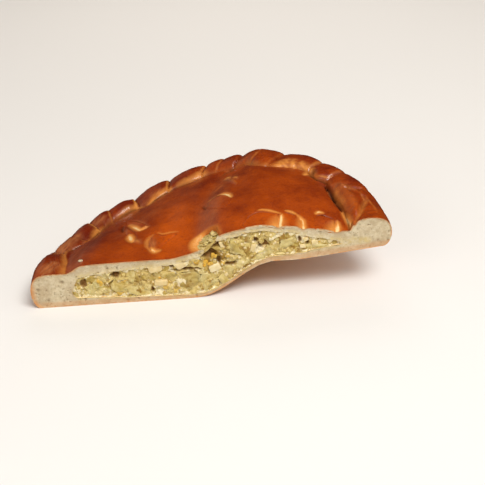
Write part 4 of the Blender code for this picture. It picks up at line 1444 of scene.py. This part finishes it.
def cut_pieces(x, z):
    """The chopped pieces as the knife left them: depth, tone, what each is, its veins, and the
    seams between them."""
    draw = np.random.default_rng(17)
    middles = (draw.uniform(-0.092, 0.090, CUT_PIECES), draw.uniform(0.0, 0.052, CUT_PIECES))
    middles = np.stack(middles, -1)
    at_x, at_z = middles.T
    above = at_z > cavity_bottom(at_x, 0.0) - 2.0 * MM
    middles = middles[above & (at_z < cavity_top(at_x, 0.0) + 3.0 * MM)]
    count = len(middles)
    sunk, tone, kind = (draw.uniform(0.0, most, count) for most in (1.4, 1.0, 1.0))
    tilt = draw.uniform(-0.40, 0.40, (count, 2))
    grain_way = draw.uniform(0.0, math.pi, count)
    stretch = draw.uniform(0.65, 1.4, count)
    reach = draw.uniform(0.6, 1.4, count)
    bent_x = x + 1.9 * MM * rough(x, z, 0.0, 0.0050, 55.0) + ripples(x, z, (0.9, 0.0018, 56.0))
    bent_z = z + 1.6 * MM * rough(x, z, 0.0, 0.0050, 57.0) + ripples(x, z, (0.9, 0.0018, 58.0))
    off_x = bent_x[:, None] - middles[None, :, 0]
    off_z = bent_z[:, None] - middles[None, :, 1]
    turned_x = off_x * np.cos(grain_way) + off_z * np.sin(grain_way)
    turned_z = off_z * np.cos(grain_way) - off_x * np.sin(grain_way)
    away = np.hypot(turned_x / stretch, turned_z * stretch) / reach
    order = np.argpartition(away, 1, axis=1)[:, :2]
    rows = np.arange(len(x))
    pair = np.sort(away[rows[:, None], order], axis=1)
    own = np.argmin(away, axis=1)
    other = np.where(order[:, 0] == own, order[:, 1], order[:, 0])
    seam = fall(pair[:, 1] - pair[:, 0], 0.55 * MM)

    def piece_depth(of):
        leaning = tilt[of, 0] * off_x[rows, of] + tilt[of, 1] * off_z[rows, of]
        return sunk[of] + np.clip(leaning / MM, -0.9, 0.9)

    depth = np.maximum(mix(piece_depth(own), piece_depth(other), 0.5 * seam), 0.0)
    depth = depth + 0.25 * seam * (0.3 + sunk[own] * 0.5)
    return depth, tone[own], kind[own], turned_x[rows, own] / CUT_PIECE_SIZE, seam


def build_core(scene):
    bm = turned(core_table(np.linspace(-90.0, 270.0, CORE_TURNS + 1)), ())
    cut_off(bm, CORE_DEPTH)
    layers = layers_of(bm, ("hole_shade", "tone", "kind", "vein"))

    def depth_at(x, z, away):
        settled = clamp(away / (0.8 * MM))
        depth = 0.3 + cut_pieces(x, z)[0]
        lumps = 0.8 * rough(x, z, 0.0, 0.0026, 51.0) + 0.35 * rough(x, z, 0.0, 0.0012, 53.0)
        return (depth + np.maximum(lumps, -0.3) + 2.6 * hollow_at(x, z)) * settled * MM

    inner = close_cut(bm, CORE_WEB, depth_at, material_index=0, seed=9)
    xs, _, zs = np.array([vert.co for vert in inner]).T
    depth, tone, kind, vein, seam = cut_pieces(xs, zs)
    near = np.minimum(cavity_top(xs, 0.0) - zs, zs - cavity_bottom(xs, 0.0))
    kind = np.where(near < (1.2 + 2.4 * rough(xs, zs, 0.0, 0.0035, 81.0)) * MM, DOUGHY, kind)
    # the hollows and the deeper seams between pieces are darkened with painted shade
    painted_shade = np.maximum(0.95 * hollow_at(xs, zs), 0.12 * seam * clamp(depth - 0.9))
    paint_verts(inner, layers, np.stack([painted_shade, tone, kind, vein], -1).tolist())
    piece = smooth_object(bm, "filling_body", finished(scene, "cooked_filling"), sharp=60.0)
    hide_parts("filling")


def build_cabbage(scene):
    draw = random.Random(21)
    bm = bmesh.new()
    layers_of(bm, PIECE_FINISH)
    for x, z, width, height, tone, depth, roll in SHEETS:
        tilt, lean = draw.uniform(-0.35, 0.35), draw.uniform(-0.35, 0.35)
        where = aim(x * MM, (depth + 0.9) * MM, z * MM, tilt, math.radians(roll), lean)
        thickness = draw.uniform(0.9, 1.5) * MM
        add_sheet(bm, draw, where, width * MM, height * MM, thickness, tone, depth * MM * 0.3)
    for _ in range(scene.pie_shape.cabbage_count):
        x, y, z = filling_spot(draw, 2.0 * MM)
        flat = draw.random() < 0.6
        tilt = draw.uniform(-0.5, 0.5) if flat else draw.uniform(1.0, 2.1)
        where = aim(x, y + 0.8 * MM, z, tilt, draw.uniform(0.0, math.tau), draw.uniform(-0.5, 0.5))
        width, height = draw.uniform(4.0, 9.0) * MM, draw.uniform(3.0, 6.0) * MM
        tone = min(1.0, draw.random() ** 1.3)
        thickness, level = draw.uniform(0.8, 1.5) * MM, draw.uniform(0.1, 0.8) * MM
        add_sheet(bm, draw, where, width, height, thickness, tone, level)
    for _ in range(VENT_SHEETS):
        angle, far = draw.uniform(0.0, 200.0), draw.uniform(0.0, 8.0) * MM
        x, y = place(far, angle)
        z = float(panel(x, y)) - draw.uniform(3.6, 5.4) * MM
        where = Matrix.Translation((x, y, z)) @ Matrix.Rotation(draw.uniform(0.0, math.tau), 4, "Z")
        where = where @ Matrix.Rotation(draw.uniform(-0.7, 0.7), 4, "X")
        width, tone = draw.uniform(4.0, 8.0) * MM, 0.7 * draw.random()
        add_sheet(bm, draw, where, width, 4.0 * MM, 0.9 * MM, tone, 0.3 * MM)
    piece = smooth_object(bm, "cabbage_pieces", finished(scene, "stewed_cabbage"), sharp=70.0)


def build_egg(scene):
    draw = random.Random(33)
    shape = scene.pie_shape
    whites, yolks = bmesh.new(), bmesh.new()
    layers_of(whites, PIECE_FINISH)
    layers_of(yolks, PIECE_FINISH)

    def any_turn():
        return draw.uniform(0.0, math.tau)

    def any_size(least, most):
        return [draw.uniform(least, most) * MM for _ in range(3)]

    for x, z, width, height, roll in WHITES:
        tilt, lean = draw.uniform(-0.2, 0.2), draw.uniform(-0.2, 0.2)
        where = aim(x * MM, 1.8 * MM, z * MM, tilt, math.radians(roll), lean)
        size, tone = (width * MM, height * MM, 5.0 * MM), draw.uniform(0.0, 0.7)
        add_lump(whites, draw, where, size, tone, 0.05 * MM, 0.2, 0.2)
    for _ in range(shape.white_count):
        x, y, z = filling_spot(draw, 4.0 * MM)
        tilt, roll, lean = draw.uniform(-1.5, 1.5), any_turn(), draw.uniform(-0.5, 0.5)
        size, tone = any_size(2.0, 4.6), draw.random()
        where = aim(x, y + 0.8 * MM, z, tilt, roll, lean)
        add_lump(whites, draw, where, size, tone, draw.uniform(0.1, 0.9) * MM, 0.35, 0.2)
    for x, z, width, height in YOLKS:
        for _ in range(YOLK_CLUSTER):
            off_x, off_z = draw.uniform(-0.4, 0.4) * width, draw.uniform(-0.4, 0.4) * height
            depth = draw.uniform(0.6, 1.6) * MM
            where = aim((x + off_x) * MM, depth, (z + off_z) * MM, 0.0, any_turn())
            size, tone = any_size(1.8, 3.4), draw.random()
            add_lump(yolks, draw, where, size, tone, draw.uniform(0.0, 0.5) * MM, 0.5)
    for _ in range(shape.yolk_count):
        x, y, z = filling_spot(draw, 3.0 * MM)
        where = aim(x, y + 0.5 * MM, z, 0.0, any_turn())
        size, tone = any_size(0.9, 2.3), draw.random()
        add_lump(yolks, draw, where, size, tone, draw.uniform(0.1, 0.8) * MM, 0.5)
    made = ((whites, "egg_white_pieces", "egg_white"), (yolks, "egg_yolk_crumbs", "egg_yolk"))
    for bm, name, finish in made:
        piece = smooth_object(bm, name, finished(scene, finish), sharp=50.0)


# ---------------------------------------------------------------- the stage
CAMERA_PLACE = (-0.01198, -0.56872, 0.31739)
CAMERA_RIGHT = (0.99625, -0.08135, -0.02954)
CAMERA_UP = (0.06496, 0.47733, 0.87632)
CAMERA_BACK = (-0.05719, -0.87495, 0.48082)
CAMERA_LENS = 65.53
FLOOR_SIZE = 6.0
FLOOR_COLOUR = (0.80, 0.79, 0.77)
# The colours of the surroundings
AROUND_FRONT = (0.95, 0.94, 0.92)
AROUND_BACK = (0.055, 0.045, 0.035)
AROUND_LEFT = (0.62, 0.45, 0.31)
AROUND_BELOW = (0.13, 0.07, 0.04)
AROUND_STRENGTH = 0.55
# Name, place, what it points at, size, power, colour, whether it shows in glossy surfaces
LIGHTS = (
    ("key", (0.42, -0.70, 1.25), (0.0, 0.0, 0.02), (0.8, 0.6), 18.6, (1.0, 0.98, 0.95), True),
    ("fill", (-0.9, -0.9, 0.6), (0.0, 0.0, 0.03), (0.9, 0.7), 4.8, (1.0, 1.0, 1.0), False),
    ("back", (0.1, 0.95, 0.75), (0.0, 0.05, 0.03), (1.0, 0.6), 4.0, (1.0, 0.93, 0.85), False),
)


def add_light(scene, name, spot, target, size, power, tint, mirrored):
    light = bpy.data.lights.new(name, "AREA")
    light.shape = "RECTANGLE"
    light.size, light.size_y = size
    light.energy = power
    light.color = tint
    lamp = bpy.data.objects.new(name, light)
    lamp.location = spot
    lamp.rotation_euler = (Vector(target) - Vector(spot)).to_track_quat("-Z", "Y").to_euler()
    lamp.visible_camera = False
    lamp.visible_glossy = mirrored
    scene.collection.objects.link(lamp)


def build_stage(scene):
    bm = bmesh.new()
    bmesh.ops.create_grid(bm, x_segments=1, y_segments=1, size=FLOOR_SIZE)
    mesh = bpy.data.meshes.new("floor")
    bm.to_mesh(mesh)
    bm.free()
    floor = bpy.data.objects.new("floor", mesh)
    scene.collection.objects.link(floor)
    floor.visible_glossy = False
    dull = {"Roughness": 0.8, "Specular IOR Level": 0.2, "Base Color": FLOOR_COLOUR}
    mesh.materials.append(Look("pale_floor", dull).finish)

    world = bpy.data.worlds.new("studio")
    world.use_nodes = True
    nodes = Nodes(world.node_tree)
    way = nodes.put("ShaderNodeSeparateXYZ", {"Vector": nodes.where("Generated")}).outputs
    back = nodes.between(way["Y"], -0.05, 0.35)
    shade = nodes.blend(back, AROUND_FRONT, AROUND_BACK)
    left = nodes.between(nodes.times(way["X"], -1.0), 0.16, 0.42)
    shade = nodes.blend(left, shade, AROUND_LEFT)
    shade = nodes.blend(nodes.between(way["Z"], 0.03, -0.10), shade, AROUND_BELOW)
    sky = world.node_tree.nodes["Background"]
    nodes.feed(shade, sky.inputs["Color"])
    sky.inputs["Strength"].default_value = AROUND_STRENGTH
    scene.world = world

    for light in LIGHTS:
        add_light(scene, *light)

    camera = bpy.data.cameras.new("camera")
    camera.lens = CAMERA_LENS
    camera.sensor_width = 36.0
    camera.clip_start = 0.01
    lens = bpy.data.objects.new("camera", camera)
    axes = Matrix((CAMERA_RIGHT, CAMERA_UP, CAMERA_BACK)).transposed().to_4x4()
    axes.translation = CAMERA_PLACE
    lens.matrix_world = axes
    scene.collection.objects.link(lens)
    scene.camera = lens
    scene.view_settings.view_transform = "Standard"


# ---------------------------------------------------------------- the add-on
def colour(name, description, default):
    kind = {"subtype": "COLOR", "size": 3, "min": 0.0, "max": 1.0}
    return bpy.props.FloatVectorProperty(
        name=name, description=description, default=default, **kind
    )


def count(name, description, default):
    return bpy.props.IntProperty(name=name, description=description, default=default, min=0)


class PieShape(bpy.types.PropertyGroup):
    crumb_relief: bpy.props.FloatProperty(
        name="Crumb relief", description="How uneven the cut dough is", default=1.0, min=0.0
    )
    crumb_web: bpy.props.FloatProperty(
        name="Crumb web",
        description="Spacing of the points on the cut dough",
        default=0.0008,
        unit="LENGTH",
    )
    cabbage_count: count("Cabbage", "Pieces of cabbage strewn behind the cut", 24)
    white_count: count("Egg white", "Pieces of egg white strewn behind the cut", 10)
    yolk_count: count("Yolk", "Crumbs of yolk strewn behind the cut", 10)


class PieColours(bpy.types.PropertyGroup):
    deep: colour("Deep crust", "The crust where it baked darkest", (0.145, 0.0105, 0.0006))
    bright: colour("Bright crust", "The crust where it is orange", (0.52, 0.084, 0.0012))
    golden: colour("Golden dough", "Dough in the folds, lightly baked", (0.68, 0.26, 0.048))
    cream: colour("Pale dough", "Dough that the oven hardly touched", (0.80, 0.60, 0.29))
    # painted shade for the bottoms of creases, the crack and the dark marks
    crease_shade: colour("Dark folds", "The bottoms of creases and the crack", (0.055, 0.012, 0.003))
    base: colour("Base", "Brown patches under the pie", (0.42, 0.20, 0.06))
    # a pinkish sheen painted on the glaze in place of reflected light
    painted_sheen: colour("Bloom", "Dull pinkish patches on the glaze", (0.53, 0.195, 0.062))
    crumb: colour("Crumb", "Cut dough", (0.61, 0.52, 0.345))
    crumb_shade: colour("Crumb shade", "Denser cut dough", (0.47, 0.365, 0.22))
    # painted shade in the pores of the cut dough
    hole_shade: colour("Pores", "Holes in the cut dough", (0.22, 0.13, 0.05))
    # also laid, weaker, as painted shade along the bottom of the cut dough
    edge: colour("Cut edge", "The crust seen edge-on at the cut", (0.55, 0.24, 0.07))
    cabbage: colour("Cabbage", "Stewed cabbage", (0.47, 0.33, 0.072))
    cabbage_pale: colour("Pale cabbage", "The cabbage's ribs", (0.65, 0.53, 0.225))
    cabbage_olive: colour("Olive cabbage", "Cabbage cooked darker", (0.30, 0.165, 0.022))
    white: colour("Egg white", "Boiled egg white", (0.80, 0.69, 0.43))
    white_shade: colour("Egg white shade", "Egg white stained by the filling", (0.66, 0.49, 0.20))
    yolk: colour("Yolk", "Boiled yolk", (0.66, 0.35, 0.022))
    yolk_shade: colour("Yolk shade", "Yolk mixed into the filling", (0.60, 0.39, 0.075))
    filling: colour("Filling", "Cooked-down filling", (0.64, 0.49, 0.17))
    filling_shade: colour("Filling shade", "Cooked-down filling, darker", (0.36, 0.205, 0.028))
    # painted shade deep between the pieces
    hollow: colour("Hollows", "Deep between the pieces", (0.22, 0.095, 0.014))


class Maker:
    """What the operators share: each builds its piece or group in the scene."""

    def execute(self, context):
        self.build(context.scene)
        return {"FINISHED"}


class CrustMaker(Maker, bpy.types.Operator):
    """Turns, crimps and cuts the baked crust"""

    bl_idname = "pie.crust"
    bl_label = "Crust"
    build = staticmethod(build_crust)


class CrumbMaker(Maker, bpy.types.Operator):
    """Drops the stray crumb on the top"""

    bl_idname = "pie.crumb"
    bl_label = "Stray crumb"
    build = staticmethod(build_stray_crumb)


class LeafMaker(Maker, bpy.types.Operator):
    """Lays the dough leaves on the crust"""

    bl_idname = "pie.leaves"
    bl_label = "Leaves"
    build = staticmethod(build_leaves)


class FillingMaker(Maker, bpy.types.Operator):
    """Makes the body of the filling"""

    bl_idname = "pie.filling"
    bl_label = "Filling"
    build = staticmethod(build_core)


class CabbageMaker(Maker, bpy.types.Operator):
    """Strews the pieces of cabbage"""

    bl_idname = "pie.cabbage"
    bl_label = "Cabbage"
    build = staticmethod(build_cabbage)


class EggMaker(Maker, bpy.types.Operator):
    """Strews the pieces of egg white and yolk"""

    bl_idname = "pie.egg"
    bl_label = "Egg"
    build = staticmethod(build_egg)


class StageMaker(Maker, bpy.types.Operator):
    """Sets the floor, the lights and the camera"""

    bl_idname = "pie.stage"
    bl_label = "Stage"
    build = staticmethod(build_stage)


class PiePanel(bpy.types.Panel):
    bl_idname = "VIEW3D_PT_pie"
    bl_label = "Pie"
    bl_space_type = "VIEW_3D"
    bl_region_type = "UI"
    bl_category = "Pie"

    def draw(self, context):
        for maker in MAKERS:
            self.layout.operator(maker.bl_idname)
        for group in (context.scene.pie_shape, context.scene.pie_colours):
            for name in group.__annotations__:
                self.layout.prop(group, name)


MAKERS = (StageMaker, CrustMaker, CrumbMaker, LeafMaker, FillingMaker, CabbageMaker, EggMaker)
CLASSES = (PieShape, PieColours, *MAKERS, PiePanel)


def register():
    for item in CLASSES:
        bpy.utils.register_class(item)
    bpy.types.Scene.pie_shape = bpy.props.PointerProperty(type=PieShape)
    bpy.types.Scene.pie_colours = bpy.props.PointerProperty(type=PieColours)


def unregister():
    del bpy.types.Scene.pie_colours
    del bpy.types.Scene.pie_shape
    for item in reversed(CLASSES):
        bpy.utils.unregister_class(item)


def main():
    register()
    for maker in MAKERS:
        group, name = maker.bl_idname.split(".")
        getattr(getattr(bpy.ops, group), name)()


if __name__ == "__main__":
    main()
